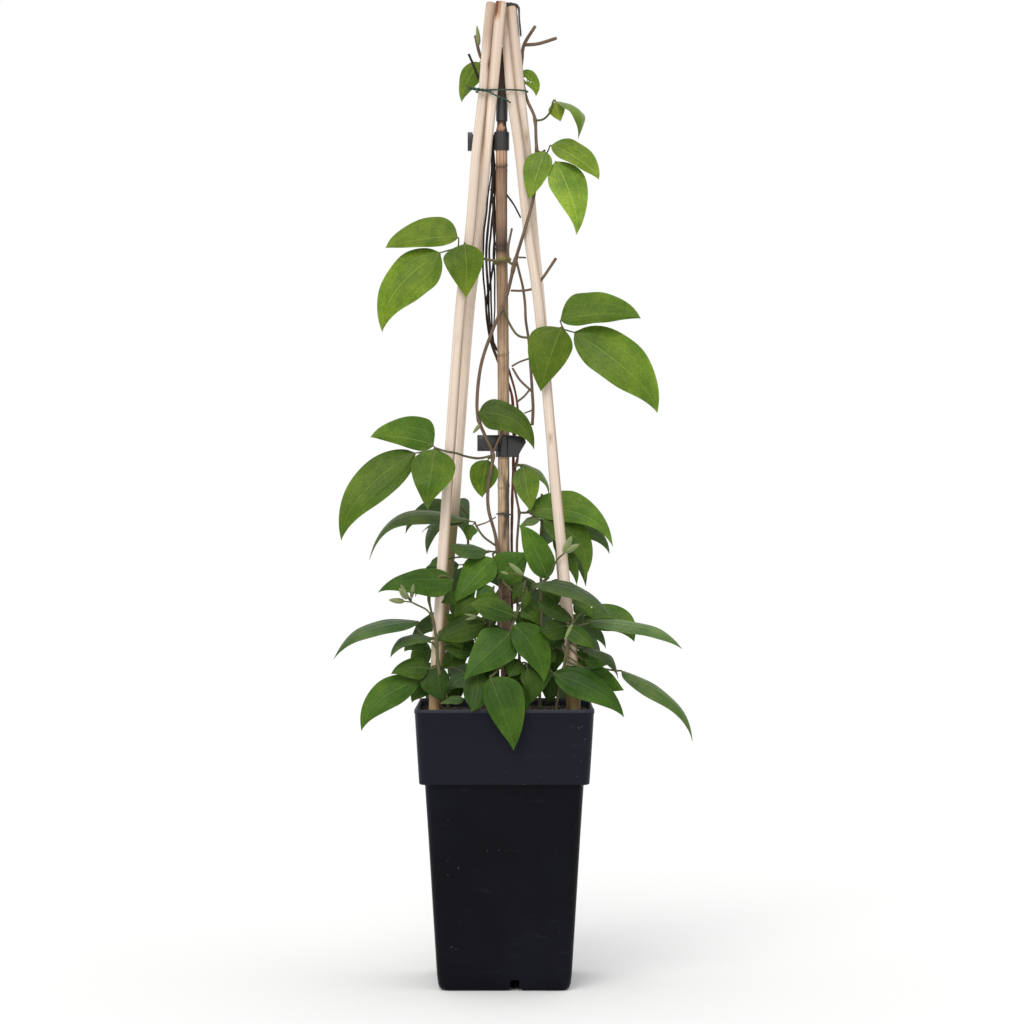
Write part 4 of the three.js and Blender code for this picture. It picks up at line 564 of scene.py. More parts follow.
shoots["right_shoot"] = {"stems": [
    ([(45.5, -45, 245.5), (42, -44.5, 228), (38, -43, 208), (35, -39, 191), (34.5, -37, 170.5)], 0.8, 1.1),
], "leaflets": [
    ((52, -28, 245.5), (87, -36, 233), 19.3, (0.1, -0.95, 0.35), 0, 0.05, 0.27, 2, [(45, -45, 242.5),
     (48.5, -38, 249.5), (53, -29, 251.5)], (0.8, 0.7), (0.3, 2.94, -0.01, 1.13)),
    ((56.5, -40, 247), (118, -52, 229), 13.8, (0.1, -0.6, 0.8), 0.07, 0.06, -0.01, 2, [(45, -45, 243.5),
     (52, -42, 244.5), (58.5, -39.5, 247)], (0.8, 0.7), (0.35, 2.85, 0.1, 1.61)),
    ((44, -42, 245), (23, -48, 242), 14.8, (0, -0.95, 0.35), 0.06, 0.09, 0.07, 2, [(45.5, -45, 244.5),
     (44, -42, 246)], (0.7, 0.7), (0.47, 2.28, -0.14, 0.45)),
    ((41.5, -46, 244), (59, -54, 229), 12.4, (0.1, -0.95, 0.3), 0.03, 0.05, 0.04, 2, [(45, -45, 244)],
     (0.7, 0.7), (0.18, 2.9, 0.16, 0.75)),
    ((46.5, -44, 247), (22, -43, 261), 10.6, (0, -0.9, 0.45), 0.04, -0.01, 0.03, 2, [(45.5, -45, 245.5),
     (47, -44.5, 247)], (0.7, 0.6), (0.5, 1.96, 0.06, 0.48)),
    ((52, -46, 229.5), (75.5, -54, 209.5), 12.3, (0.35, -0.5, 0.8), 0.19, 0.13, -0.08, 2, [(43, -45, 234),
     (48.5, -45, 230)], (0.7, 0.7), (0.35, 2.56, 0.2, 0.52)),
    ((52.5, -40, 221), (70.5, -44, 218.5), 11, (0, -0.9, 0.4), 0.04, 0, 0, 2, [(42.5, -44.5, 230.5),
     (48.5, -41.5, 224.5)], (0.6, 0.6)),
    ((56, -41, 213), (80, -45, 201), 16, (0.1, -0.95, -0.2), 0.04, 0, 0, 2, [(41, -44.5, 224.5),
     (49, -44.5, 219)], (0.6, 0.6)),
    ((32.5, -46, 212), (79.5, -54, 183.5), 21.6, (0.1, -1, 0.3), 0.06, 0.04, 0.06, 2, [(38, -43, 209),
     (34.5, -45, 213)], (0.8, 0.7), (0.31, 1.71, -0.07, 0.72)),
    ((78.5, -34, 213.5), (125.5, -44, 167), 17.6, (0.5, -0.6, 0.6), 0.1, 0.08, 0, 2, [(40.5, -45, 221),
     (47, -46, 218), (55, -43.5, 216), (66, -37.5, 215), (75, -34, 213.5)], (0.8, 0.7),
     (0.3, 1.49, 0.27, 1.31)),
], "shadeLeaflets": [
    ((41, -44.5, 224.5), (38, -39, 228.5), (34.5, -36, 229), (20, -36, 215.5), 16, (-0.1, -0.8, 0.5), -0.06),
    ((42, -44.5, 228), (44.5, -38, 233), (46.5, -34, 234), (64, -34, 224), 17, (0.2, -0.8, 0.6), 0.1),
    ((39, -44, 214.5), (42.5, -39, 217), (45.5, -36, 215.5), (61.5, -38, 198), 17, (0.2, -0.8, 0.5), 0.08),
    ((44, -44.5, 234.5), (40.5, -36, 247.5), (37.5, -30, 257), (24, -28, 267.5), 15, (0, -0.9, 0.4), 0),
    ((39, -44, 208), (35, -35, 211.5), (30.5, -28, 211), (28.5, -30, 191), 15, (0, -1, 0.2), 0.05),
    ((41, -44.5, 228), (39, -34, 231.5), (37, -26, 231), (34, -28, 211), 13, (0, -1, 0.2), -0.05),
    ((44, -44.5, 234.5), (40.5, -36, 239), (37.5, -30, 239.5), (29.5, -32, 227.5), 12, (0, -0.9, 0.4), 0.05),
    ((41, -44.5, 224.5), (44, -36, 228), (47, -30, 227), (57.5, -34, 214.5), 14, (0.1, -0.9, 0.4), 0.05),
    ((44.5, -44.5, 244.5), (44.5, -34, 253.5), (45, -26, 258.5), (59.5, -28, 248), 12, (0.1, -0.9, 0.4), 0.08),
], "buds": [
    ((45.5, -45, 245), (40.5, -50, 235), 1.7),
]}

deadStems = [
    ([(-24.5, 4, 633.5), (-21.5, 5, 626.5), (-18.5, 6, 619), (-14, 9, 611), (-11.5, 10.5, 595), (-9, 11, 569),
      (-8, 5.5, 551.5), (-10, 3.5, 527), (-12.5, 3, 499.5), (-11.5, 2.5, 475.5), (-10, 3.5, 448), (-7, 6, 431),
      (-3, 7, 420), (1.5, 6, 410.5), (5, 3, 400), (6, 4, 388.5), (6, 4.5, 357.5), (5, 3.5, 314.5),
      (5, 4, 259.5), (4.5, 5, 198), (4.5, 5, 167)], 0.9, 1),
    ([(-9, 4.5, 540.5), (-8, 2, 533.5), (-7.5, 0, 516), (-7, -1, 495.5), (-10, 1, 475), (-12.5, 2, 463),
      (-10.5, 6, 444), (-5, 8, 431), (1, 7, 422), (4.5, 4, 412), (7.5, 3, 401.5), (9, 3, 391), (8.5, 4, 379.5),
      (6, 4.5, 368)], 0.8, 0.8),
    ([(-9.5, 4, 540.5), (-4.5, 7, 543), (-0.5, 7, 540), (2.5, 5, 536), (6.5, 1.5, 530),
      (11, -1, 521)], 0.8, 0.6),
]
centreLine = [
    (-2, 8, 632), (-1.8, 6, 607), (-2, 3, 569), (-2, 0, 500), (-1.4, 0, 465), (-0.7, 0, 396), (-0.5, 0, 300),
    (0.5, 0, 260), (1.5, 0, 190), (1.5, 0, 140), (1.5, 0, 70),
]

# small sums that every piece uses


def blendTo(low, high, share):
    return low + (high - low) * share


def blendTones(a, b, share):
    return [blendTo(p, q, share) for p, q in zip(a, b)]


def within(value):
    return max(0.0, min(1.0, value))


def hump(distance, width):
    return math.exp(-(distance / width) ** 2)


def fromHeading(angle, heading):
    # signed turn between two angles, the short way round
    return math.atan2(math.sin(angle - heading), math.cos(angle - heading))


def waver(*place):
    return noise.noise(Vector(place))


def directionAt(path, index):
    return (path[min(index + 1, len(path) - 1)] - path[max(index - 1, 0)]).normalized()


# mesh helpers: a piece is gathered in millimetres and turned into one object at the end


def newPiece():
    return {"verts": [], "faces": [], "slots": [], "first": [], "second": []}


def addVert(piece, point, first=(0, 0, 0), second=(1, 1, 1)):
    piece["verts"].append(tuple(point))
    piece["first"].append(tuple(first))
    piece["second"].append(tuple(second))
    return len(piece["verts"]) - 1


def addFace(piece, corners, slot=0):
    piece["faces"].append(tuple(corners))
    piece["slots"].append(slot)


def addSkin(piece, rings, capped=True):
    # rings of vertex numbers, all counted the same way round
    for low, high in zip(rings, rings[1:]):
        for i in range(len(low)):
            j = (i + 1) % len(low)
            addFace(piece, (low[i], low[j], high[j], high[i]))
    if capped:
        addFace(piece, reversed(rings[0]))
        addFace(piece, rings[-1])


def addLoft(piece, rings):
    addSkin(piece, [[addVert(piece, point) for point in ring] for ring in rings])


def finishPiece(piece, name, materials, kind="tube", smoothAngle=50.0):
    mesh = bpy.data.meshes.new(name)
    mesh.from_pydata([Vector(v) * mm for v in piece["verts"]], [], piece["faces"])
    for material in materials:
        mesh.materials.append(material)
    mesh.polygons.foreach_set("material_index", piece["slots"])
    names = {"tube": ("tubePlace", "tubeTone"), "leaf": ("leafShare", "leafTone")}
    if kind in names:
        place = mesh.attributes.new(names[kind][0], "FLOAT_VECTOR", "POINT")
        place.data.foreach_set("vector", [n for row in piece["first"] for n in row])
        tone = mesh.attributes.new(names[kind][1], "FLOAT_COLOR", "POINT")
        tone.data.foreach_set("color", [n for row in piece["second"] for n in (*row, 1.0)])
    mesh.validate()
    mesh.update()
    mesh.shade_smooth()
    mesh.set_sharp_from_angle(angle=math.radians(smoothAngle))
    return addObject(name, mesh)


def standFor(thing, slotName, *nodes):
    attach(thing, "root")
    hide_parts(*nodes)


def facesOutward(thing):
    shape = bmesh.new()
    shape.from_mesh(thing.data)
    bmesh.ops.recalc_face_normals(shape, faces=shape.faces)
    shape.to_mesh(thing.data)
    shape.free()


def curveThrough(points, spacing):
    # centripetal curve through the points, the same line as the solids follow
    knots = [Vector(p) for p in points]
    knots = [knots[0] * 2 - knots[1], *knots, knots[-1] * 2 - knots[-2]]
    path = []
    for i in range(1, len(knots) - 2):
        a, b, c, d = knots[i - 1:i + 3]
        gaps = [max((q - p).length_squared, 1e-9) ** 0.25 for p, q in ((a, b), (b, c), (c, d))]
        slopeB = ((b - a) / gaps[0] - (c - a) / (gaps[0] + gaps[1]) + (c - b) / gaps[1]) * gaps[1]
        slopeC = ((c - b) / gaps[1] - (d - b) / (gaps[1] + gaps[2]) + (d - c) / gaps[2]) * gaps[1]
        pieces = max(1, round((c - b).length / spacing))
        for step in range(pieces):
            t = step / pieces
            path.append(b + slopeB * t + (3 * (c - b) - 2 * slopeB - slopeC) * t * t
                        + (2 * (b - c) + slopeB + slopeC) * t ** 3)
    return path + [knots[-2]]


def addTube(piece, path, radiusAt, sides, tone=(1, 1, 1), shape=None, rounded=False, seed=0.0):
    # radiusAt: a plain radius or radiusAt(share, length) in mm; shape(angle, length) is a share of the radius
    lengths = [0.0]
    for before, after in zip(path, path[1:]):
        lengths.append(lengths[-1] + (after - before).length)
    side = None
    rings = []
    for index, point in enumerate(path):
        along = directionAt(path, index)
        if side is None:
            side = Vector((1, 0, 0)) if abs(along.x) < 0.9 else Vector((0, 1, 0))
        side = (side - along * side.dot(along)).normalized()
        other = along.cross(side)
        length = lengths[index]
        radius = radiusAt(length / lengths[-1], length) if callable(radiusAt) else radiusAt
        ring = []
        for i in range(sides):
            angle = math.tau * i / sides
            reach = radius * (shape(angle, length) if shape else 1.0)
            x, y = reach * math.cos(angle), reach * math.sin(angle)
            ring.append(addVert(piece, point + side * x + other * y, (x + seed, y, length + seed * 7),
                                tone(length, angle) if callable(tone) else tone))
        rings.append(ring)
    if rounded:
        caps = []
        for pair in ((rings[0], rings[1]), (rings[-1], rings[-2])):
            centre, inner = (sum((Vector(piece["verts"][i]) for i in ring), Vector()) / sides for ring in pair)
            size = (Vector(piece["verts"][pair[0][0]]) - centre).length
            push = (centre - inner).normalized() * size * 0.35
            caps.append([addVert(piece, centre + (Vector(piece["verts"][i]) - centre) * 0.6 + push,
                                 piece["first"][i], piece["second"][i]) for i in pair[0]])
        rings = [caps[0], *rings, caps[1]]
    addSkin(piece, rings)


# leaves

leafShape = {
    "halfThickness": 0.2, "rimThickness": 0.09, "rows": 26, "columns": 12,
    # crown: how far the edges hang. pillow: how far each half bulges. wave and lean: the wavy, tilted edges
    "crown": 0.14, "pillow": 0.035, "wave": 0.045, "lean": 0.06, "neckHalf": 0.45, "tipHook": 0.035,
    # where the blade is widest, how full its outer part is and how much wider one side is than the other
    "form": (0.27, 1.75, 0.0), "formSwing": (0.04, 0.2, 0.08), "point": 1.08,
    # the rounded base reaches back past the stalk
    "lobe": 0.035, "lobeFade": 0.2,
    # light: at the edges, between the two sides, and from base to tip
    "edgeLight": 0.14, "sideLight": (0.04, 0.12), "lengthLight": (0.85, 1.08, 0.75),
}


def outlineAt(share, widest, fullness):
    if share < widest:
        return math.sqrt(1 - (1 - share / widest) ** 2)
    return max(0.0, 1 - ((share - widest) / (1 - widest)) ** fullness) ** leafShape["point"]


def addLeaflet(blades, stems, row, tone, stemTone, chance, holes):
    s = leafShape
    root, tip, width, face, arch, hook, bend, neck, _, _, form = row
    start = Vector(root)
    chord = Vector(tip) - start
    length = chord.length
    ahead = chord.normalized()
    up = Vector(face).normalized()
    up = (up - ahead * up.dot(ahead)).normalized()
    across = up.cross(ahead)
    turn = chance.uniform(-1, 1) * s["tipHook"] if abs(bend) < 0.03 else math.copysign(s["tipHook"], bend)

    def midrib(t):
        bow = 4 * t * (1 - t)
        curl = 4 * (t * t - t ** 4)
        hooked = turn * (t ** 3 - t ** 7) * 2
        return (start + ahead * length * t + up * length * (arch * bow + hook * curl)
                + across * length * (bend * bow + hooked))

    neckShare = neck / length
    rows, columns = s["rows"], s["columns"]
    phase = chance.uniform(0, math.tau)
    waves = chance.uniform(1.6, 2.6)
    lean = chance.uniform(-s["lean"], s["lean"])
    widest, fullness, skew = form[:3] if form else [
        middle + swing * chance.uniform(-1, 1) for middle, swing in zip(s["form"], s["formSwing"])]
    ripple = s["wave"] * chance.uniform(0.6, 1.3)
    sideLight = chance.choice((-1, 1)) * chance.uniform(*s["sideLight"])
    upper, lower = [], []
    for level in range(rows + 1):
        v = level / rows
        v = 0.5 * v + 0.5 * (v * v * (3 - 2 * v))  # closer rows at both ends
        t = blendTo(neckShare, 1.0, v)
        along = (midrib(min(1.0, t + 0.02)) - midrib(max(0.0, t - 0.02))).normalized()
        normal = (up - along * up.dot(along)).normalized()
        sideways = along.cross(normal)
        half = max(0.12, width / 2 * outlineAt(v, widest, fullness))
        back = s["lobe"] * length * max(0.0, 1 - v / s["lobeFade"]) ** 2
        top, bottom = [], []
        for step in range(columns + 1):
            u = step / columns * 2 - 1
            u = math.copysign(abs(u) ** 0.92, u) if u else 0.0
            hang = -s["crown"] * (abs(u) ** 1.35)
            pillow = s["pillow"] * (1 - math.cos(math.tau * min(1.0, abs(u) / 0.5))) * 0.5
            edge = ripple * math.sin(waves * math.tau * v + phase + (1.7 if u > 0 else 0)) * u * u
            lobe = math.sin(math.pi * 0.8 * abs(u) ** 0.8) ** 1.2
            spot = (midrib(t) + sideways * (u * half * (1 + (skew if u > 0 else -skew)))
                    + normal * ((hang + pillow + edge + lean * u) * half) - along * (back * lobe))
            thick = normal * blendTo(s["halfThickness"], s["rimThickness"], abs(u) ** 3)
            baseLight, tipLight, reach = s["lengthLight"]
            shade = ((1.0 + s["edgeLight"] * abs(u) ** 4 + sideLight * u)
                     * blendTo(baseLight, tipLight, min(1.0, v / reach)))
            own = (tone[0] * shade, tone[1] * shade, tone[2])
            top.append(addVert(blades, spot + thick, (u, v, half), own))
            bottom.append(addVert(blades, spot - thick, (u, v, half), own))
        upper.append(top)
        lower.append(bottom)

    def addRim(a, b, flip=False):
        rim = (upper[a[0]][a[1]], lower[a[0]][a[1]], lower[b[0]][b[1]], upper[b[0]][b[1]])
        addFace(blades, reversed(rim) if flip else rim)

    for level in range(rows):
        for step in range(columns):
            if (level, step) in holes:
                # an eaten spot: only its cut edges are closed
                around = (((level, step - 1), (level, step), (level + 1, step)),
                          ((level, step + 1), (level + 1, step + 1), (level, step + 1)),
                          ((level - 1, step), (level, step + 1), (level, step)),
                          ((level + 1, step), (level + 1, step), (level + 1, step + 1)))
                for beside, a, b in around:
                    if beside not in holes and 0 <= beside[0] < rows and 0 <= beside[1] < columns:
                        addRim(a, b, True)
                continue
            for sheet, slot in ((upper, 0), (lower, 1)):
                near, far = sheet[level], sheet[level + 1]
                corners = (near[step], far[step], far[step + 1], near[step + 1])
                addFace(blades, (corners[0], *corners[:0:-1]) if slot else corners, slot)
        for step, flip in ((0, False), (columns, True)):
            addRim((level, step), (level + 1, step), flip)
    for level, flip in ((0, True), (rows, False)):
        for step in range(columns):
            addRim((level, step), (level, step + 1), flip)
    # the neck runs on under the blade as its midrib
    line = [midrib(t * 0.8) - up * (0.0 if t < neckShare else 0.12) for t in (i / 14 for i in range(15))]
    addTube(stems, line, lambda share, _: blendTo(s["neckHalf"], 0.12, share ** 0.8), 8, stemTone)


# stems

stemLook = {
    "sides": 10, "spacing": 2.5, "rib": 0.07, "ribs": 6, "wobble": 0.08, "knot": 0.45, "knotReach": 2.2,
    "woody": (0.165, 0.108, 0.08), "green": (0.085, 0.105, 0.034), "tip": (0.12, 0.15, 0.045),
}


def stemTube(piece, points, startRadius, endRadius, tone, seed, knots=()):
    s = stemLook
    path = curveThrough(points, s["spacing"])

    def radiusAt(share, length):
        spot = path[min(len(path) - 1, round(share * (len(path) - 1)))]
        swell = sum(hump((spot - knot).length, s["knotReach"]) for knot in knots)
        wobble = waver(length * 0.09, seed, 0) * s["wobble"]
        return blendTo(startRadius, endRadius, share) * (1 + wobble + s["knot"] * min(swell, 1.0))

    def ribbed(angle, length):
        return 1 - s["rib"] * (0.5 + 0.5 * math.cos(s["ribs"] * angle + length * 0.02))

    addTube(piece, path, radiusAt, s["sides"], tone, ribbed, True, seed)


budLook = {"sides": 12, "rows": 14, "tone": (0.22, 0.26, 0.085), "seam": 0.1}


def addBud(piece, root, tip, radius, chance):
    s = budLook
    path = [Vector(root).lerp(Vector(tip), i / s["rows"]) for i in range(s["rows"] + 1)]
    turn = chance.uniform(0, math.tau)

    def full(share, _):
        return max(0.08, radius * (math.sin(math.pi * min(1.0, share ** 0.75 * 0.97 + 0.03)) ** 0.62))

    def seamed(angle, _):
        return 1 - s["seam"] * (abs(math.cos(2 * (angle + turn))) ** 6)

    addTube(piece, path, full, s["sides"], s["tone"], seamed, seed=turn)


# pot: its outline from the raised panel's underside round the foot, wall and rim and down inside to the
# panel, as half width, corner radius, height and how far the flats sink in

potProfile = [
    (43.3, 5, 7.8, 0), (42.9, 5, 5.2, 0), (41.8, 4.4, 2.1, 0), (39.8, 4, 0.35, 0), (40, 4.2, 0, 0),
    (40.9, 5.5, 0, 0), (42.3, 5.9, 0.5, 0), (43.65, 6.3, 1.9, 0), (44.4, 6.5, 4.2, 0), (45.2, 6.5, 11, 0),
    (47.1, 6.8, 42, 0.45), (50.6, 7.2, 101, 0.45), (52.95, 7.5, 137.8, 0.1), (53.25, 7.5, 138.45, 0),
    (56.1, 8.3, 138.6, 0), (56.68, 8.6, 139, 0), (56.85, 8.6, 139.8, 0), (58.3, 8.8, 163, 0.3),
    (59.65, 9, 185.8, 0.3), (60, 9, 186.4, 0.25), (60, 9, 188.3, 0.25), (59.7, 8.7, 189, 0.25),
    (58.8, 7.8, 189, 0.25), (58.5, 7.5, 188.5, 0.25), (55.3, 7.2, 140.6, 0), (54.9, 7, 139.9, 0),
    (51.5, 6.2, 137.8, 0), (43.8, 5.5, 10, 0), (43, 5.3, 9.4, 0),
]
potSize = {
    "cornerSteps": 8, "flats": (0.97, 0.6, 0.2, -0.2, -0.6, -0.97), "panel": (7.8, 9.4), "footRadius": 13,
    "rib": (43, 0.9), "drainRadius": 4, "drains": ((27, 0.25), (35.1, math.pi / 4)),
    "notchReach": (-47.5, -37.5),
    "notch": [(0.8, -1), (14.7, -1), (11.2, 1.2), (10, 3), (10, 6.6), (9, 7.6), (5, 7.6), (4, 6.6), (4, 3),
              (2.8, 1.2)],
}


def squareRing(half, corner, height, sag=0.0, steps=potSize["cornerSteps"]):
    # rounded square, anticlockwise, with extra points on the flats so that the light runs off the corners
    # cleanly
    reach = half - corner
    quarter = []
    for step in range(steps + 1):
        angle = step / steps * math.pi / 2
        quarter.append((reach + corner * math.cos(angle), reach + corner * math.sin(angle)))
    quarter += [(reach * share, half - sag * (1 - share * share)) for share in potSize["flats"]]
    turns = [(math.cos(i * math.pi / 2), math.sin(i * math.pi / 2)) for i in range(4)]
    return [(x * c - y * s, x * s + y * c, height) for c, s in turns for x, y in quarter]


def circle(x, y, radius, sides):
    return [(x + radius * math.cos(math.tau * i / sides), y + radius * math.sin(math.tau * i / sides))
            for i in range(sides)]


def carve(thing, operation, outline, low, high, upright=True, turn=0.0):
    # joins or cuts a straight prism whose outline lies across Z, or across Y where it isn't upright
    cutter = newPiece()
    turned = Matrix.Rotation(turn, 3, "Z")
    addLoft(cutter, [[turned @ Vector((p, q, level) if upright else (p, level, q)) for p, q in outline]
                     for level in (low, high)])
    tool = finishPiece(cutter, "potTool", [potPlastic], "plain")
    facesOutward(tool)
    modifier = thing.modifiers.new(operation, "BOOLEAN")
    modifier.operation = operation
    modifier.object = tool
    modifier.solver = "EXACT"
    settled = bpy.data.meshes.new_from_object(thing.evaluated_get(bpy.context.evaluated_depsgraph_get()))
    thing.modifiers.clear()
    thing.data = settled
    bpy.data.objects.remove(tool)


def makePot():
    s = potSize
    under, top = s["panel"]
    shell = newPiece()
    addLoft(shell, [squareRing(*level) for level in potProfile])
    pot = finishPiece(shell, "square_pot", [potPlastic], "plain")
    facesOutward(pot)
    carve(pot, "UNION", circle(0, 0, s["footRadius"], 40), 0, under + 0.5)
    for wide, deep in (s["rib"], s["rib"][::-1]):
        carve(pot, "UNION", [(wide, deep), (-wide, deep), (-wide, -deep), (wide, -deep)], 2, under + 0.5)
    for quarter in range(4):
        angle = quarter * math.pi / 2
        carve(pot, "DIFFERENCE", s["notch"], *s["notchReach"], False, angle)
        for reach, turn in s["drains"]:
            x, y = reach * math.cos(angle + turn), reach * math.sin(angle + turn)
            carve(pot, "DIFFERENCE", circle(x, y, s["drainRadius"], 24), under - 2, top + 2)
    pot.data.shade_smooth()
    pot.data.set_sharp_from_angle(angle=math.radians(38))
    pot.data.name = "square_pot"
    standFor(pot, "pot_plastic", "pot")


makePot()
print("pot made")

# potting soil: its sides as half width, corner radius and height, then the rough top

soilSize = {
    "sides": [(43.4, 5.2, 9.7), (51.2, 5.9, 137.6), (54.8, 6.9, 140.5), (57.6, 7.2, 180.2)],
    "top": 182.6, "swing": 1.32, "crumble": 0.75, "rings": 34, "bits": 520, "bitSize": (0.7, 3.0),
    "crumbs": 900, "crumbSize": (0.35, 0.8), "scale": 0.75, "spread": 0.97, "bark": 0.45,
}


def soilHeight(x, y):
    swell = noise.fractal(Vector((x * 0.05, y * 0.05, 3)), 1.0, 2.0, 2)
    crumbs = noise.fractal(Vector((x * 0.35, y * 0.35, 8)), 0.9, 2.2, 3)
    return soilSize["top"] + soilSize["swing"] * swell + crumbs * soilSize["crumble"]


# the twelve corners of a lump with twenty faces, and those faces, seen from outside
golden = (1 + 5 ** 0.5) / 2
lumpCorners = [Vector(c) for a in (-1, 1) for b in (-golden, golden) for c in ((0, a, b), (a, b, 0), (b, 0, a))]
lumpFaces = []
for i, j, k in ((i, j, k) for i in range(12) for j in range(i + 1, 12) for k in range(j + 1, 12)):
    a, b, c = (lumpCorners[n] for n in (i, j, k))
    if max((a - b).length, (b - c).length, (a - c).length) < 2.1:
        lumpFaces.append((i, j, k) if (b - a).cross(c - a).dot(a) > 0 else (i, k, j))


def addBit(piece, centre, size, chance, slot):
    # one crumb of bark or peat: a stretched, dented lump
    turn = (Matrix.Rotation(chance.uniform(0, math.tau), 3, "Z")
            @ Matrix.Rotation(chance.uniform(0, math.tau), 3, "X"))
    stretch = Vector((chance.uniform(0.8, 1.9), chance.uniform(0.5, 1.0), chance.uniform(0.25, 0.6)))
    numbers = []
    for corner in lumpCorners:
        spot = corner.normalized() * chance.uniform(0.75, 1.15)
        numbers.append(addVert(piece, centre + turn @ (spot * stretch) * size))
    for corners in lumpFaces:
        addFace(piece, [numbers[n] for n in corners], slot)


def makeSoil():
    s = soilSize
    half, corner, _ = s["sides"][-1]
    rings = [squareRing(*side, steps=4) for side in s["sides"]]
    for step in range(s["rings"]):
        share = 1 - step / s["rings"]
        flat = squareRing(half * share, corner * share, 0, steps=4)
        rings.append([(x, y, soilHeight(x, y)) for x, y, _ in flat])
    soil = newPiece()
    addLoft(soil, rings)
    thing = finishPiece(soil, "peat_surface", [darkPeat], "plain", 180)
    facesOutward(thing)
    standFor(thing, "soil", "potting_soil")

    chance = random.Random(7)
    bits = newPiece()
    for number in range(s["bits"] + s["crumbs"]):
        x, y = (chance.uniform(-s["spread"], s["spread"]) * half for _ in range(2))
        size = chance.uniform(*s["bitSize" if number < s["bits"] else "crumbSize"]) * s["scale"]
        centre = Vector((x, y, soilHeight(x, y) + size * chance.uniform(-0.15, 0.25)))
        addBit(bits, centre, size, chance, 0 if chance.random() < s["bark"] else 1)
    thing = finishPiece(bits, "peat_crumbs", [barkChip, darkPeat], "plain", 20)
    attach(thing, "root")


makeSoil()
print("soil made")

# canes

# each cane's line; where its split line faces, in degrees from +X round to the front; how far its visible
# top stands above the tied line; its dark knots as (mm from the top, heading, reach); a ring; how far down
# its darker top reaches, and that tone, browner wood with painted shade from the canes beside it; and how light
# it is
canes = {
    "cane_front_left": {"line": [
        (-9.15, 6, 669), (-11.15, 4, 650), (-14.45, 1, 607), (-18.65, -4, 569.5), (-23.75, -10, 507),
        (-29.25, -17.2, 465), (-36.15, -26.5, 370), (-38.95, -29.8, 328), (-47.05, -40, 189),
        (-46.85, -40.4, 140), (-43.65, -38.5, 75)],
        "seam": 24, "rise": 0, "knots": [(26.5, 80, 0.7), (43, 50, 5), (236, 96, 0.8)], "ring": 330,
        "top": (38, (0.8, 0.73, 0.68)), "lift": 1},
    "cane_back_left": {"line": [
        (-3.25, -5.5, 659), (-8.15, -2, 607), (-12.05, 2, 569.5), (-18.05, 9, 506.5), (-23.55, 15, 465),
        (-31.35, 24, 370), (-34.45, 28, 328), (-46.95, 40, 189), (-47.25, 40.4, 140), (-44.45, 38.5, 75)],
        "seam": 152, "rise": 9, "knots": [(180, 95, 1)], "ring": 262,
        "top": (75, (0.86, 0.83, 0.82)), "lift": 1.2},
    "cane_front_right": {"line": [
        (0.85, 4.2, 656), (3.05, 2, 625), (4.45, -0.8, 607), (9.85, -5, 569.5), (16.65, -11, 507),
        (22.65, -17, 465), (31.55, -26, 370), (35.25, -30, 328), (47.65, -40, 189), (47.55, -40.4, 140),
        (44.35, -38.5, 75)],
        "seam": 24, "rise": 10, "knots": [(112, 80, 1), (300, 100, 0.8)], "ring": 92,
        "top": (0, (1, 1, 1)), "lift": 0.98},
    "cane_back_right": {"line": [
        (5.05, -1.5, 663), (8.7, -0.5, 625), (10.45, 0.9, 607), (14.65, 5, 569.5), (20.15, 11.5, 507),
        (24.45, 17.5, 465), (32.15, 26, 370), (35.35, 29.3, 328), (46.15, 40, 189), (46.45, 40.4, 140),
        (43.65, 38.5, 75)],
        "seam": 145, "rise": 2.2, "knots": [(88, 70, 2), (240, 60, 1)], "ring": 190,
        "top": (60, (0.84, 0.81, 0.8)), "lift": 1.08},
}
caneLook = {
    "radius": 3.5, "sides": 28, "spacing": 6, "bow": 0.025, "worn": 0.35, "flat": 0.035,
    "riseSteps": (1, 0.9, 0.75, 0.6, 0.4, 0.2),
    # depth and width of the split line, how dark it is, how much that varies, and how wide the dark runs;
    # the dark is the split's own with painted shade where the paired canes touch
    "seam": (0.05, 0.14), "seamDarkAndShade": (0.42, 0.3, 0.4), "knot": (0.85, 0.38), "ring": (0.4, 0.7),
    "chip": {"cane": "cane_back_left", "high": 11, "heading": math.radians(128), "width": 0.62, "depth": 0.5,
             "slope": 3, "edge": 1.8, "tone": (0.7, 0.52, 0.38), "edgeTone": (0.3, 0.17, 0.1)},
    # the low part grows browner over a stretch above its end, soil stain together with painted shade low among
    # the leaves; how strongly, and the darker foot, for each side, the right canes' foot darkest with painted
    # shade
    "low": (190, 90), "lowStainAndShadeTone": (0.8, 0.68, 0.46), "footStainAndShadeTop": (215, 12),
    "footStainAndShade": {"left": (0.7, (0.72, 0.62, 0.44)), "right": (1.0, (0.42, 0.4, 0.26))},
    # one cane lies in the shade of its neighbour
    "shaded": {"cane": "cane_back_left", "from": 325, "over": 35, "tone": (0.26, 0.25, 0.13)},
    "topStainAndShadeFade": 14, "endTone": (0.8, 0.72, 0.62), "endFade": 1.5, "lineTint": (0.8, 0.98, 1.15),
}


def toned(shade, tint, share=1.0):
    return [a * blendTo(1.0, b, share) for a, b in zip(shade, tint)]


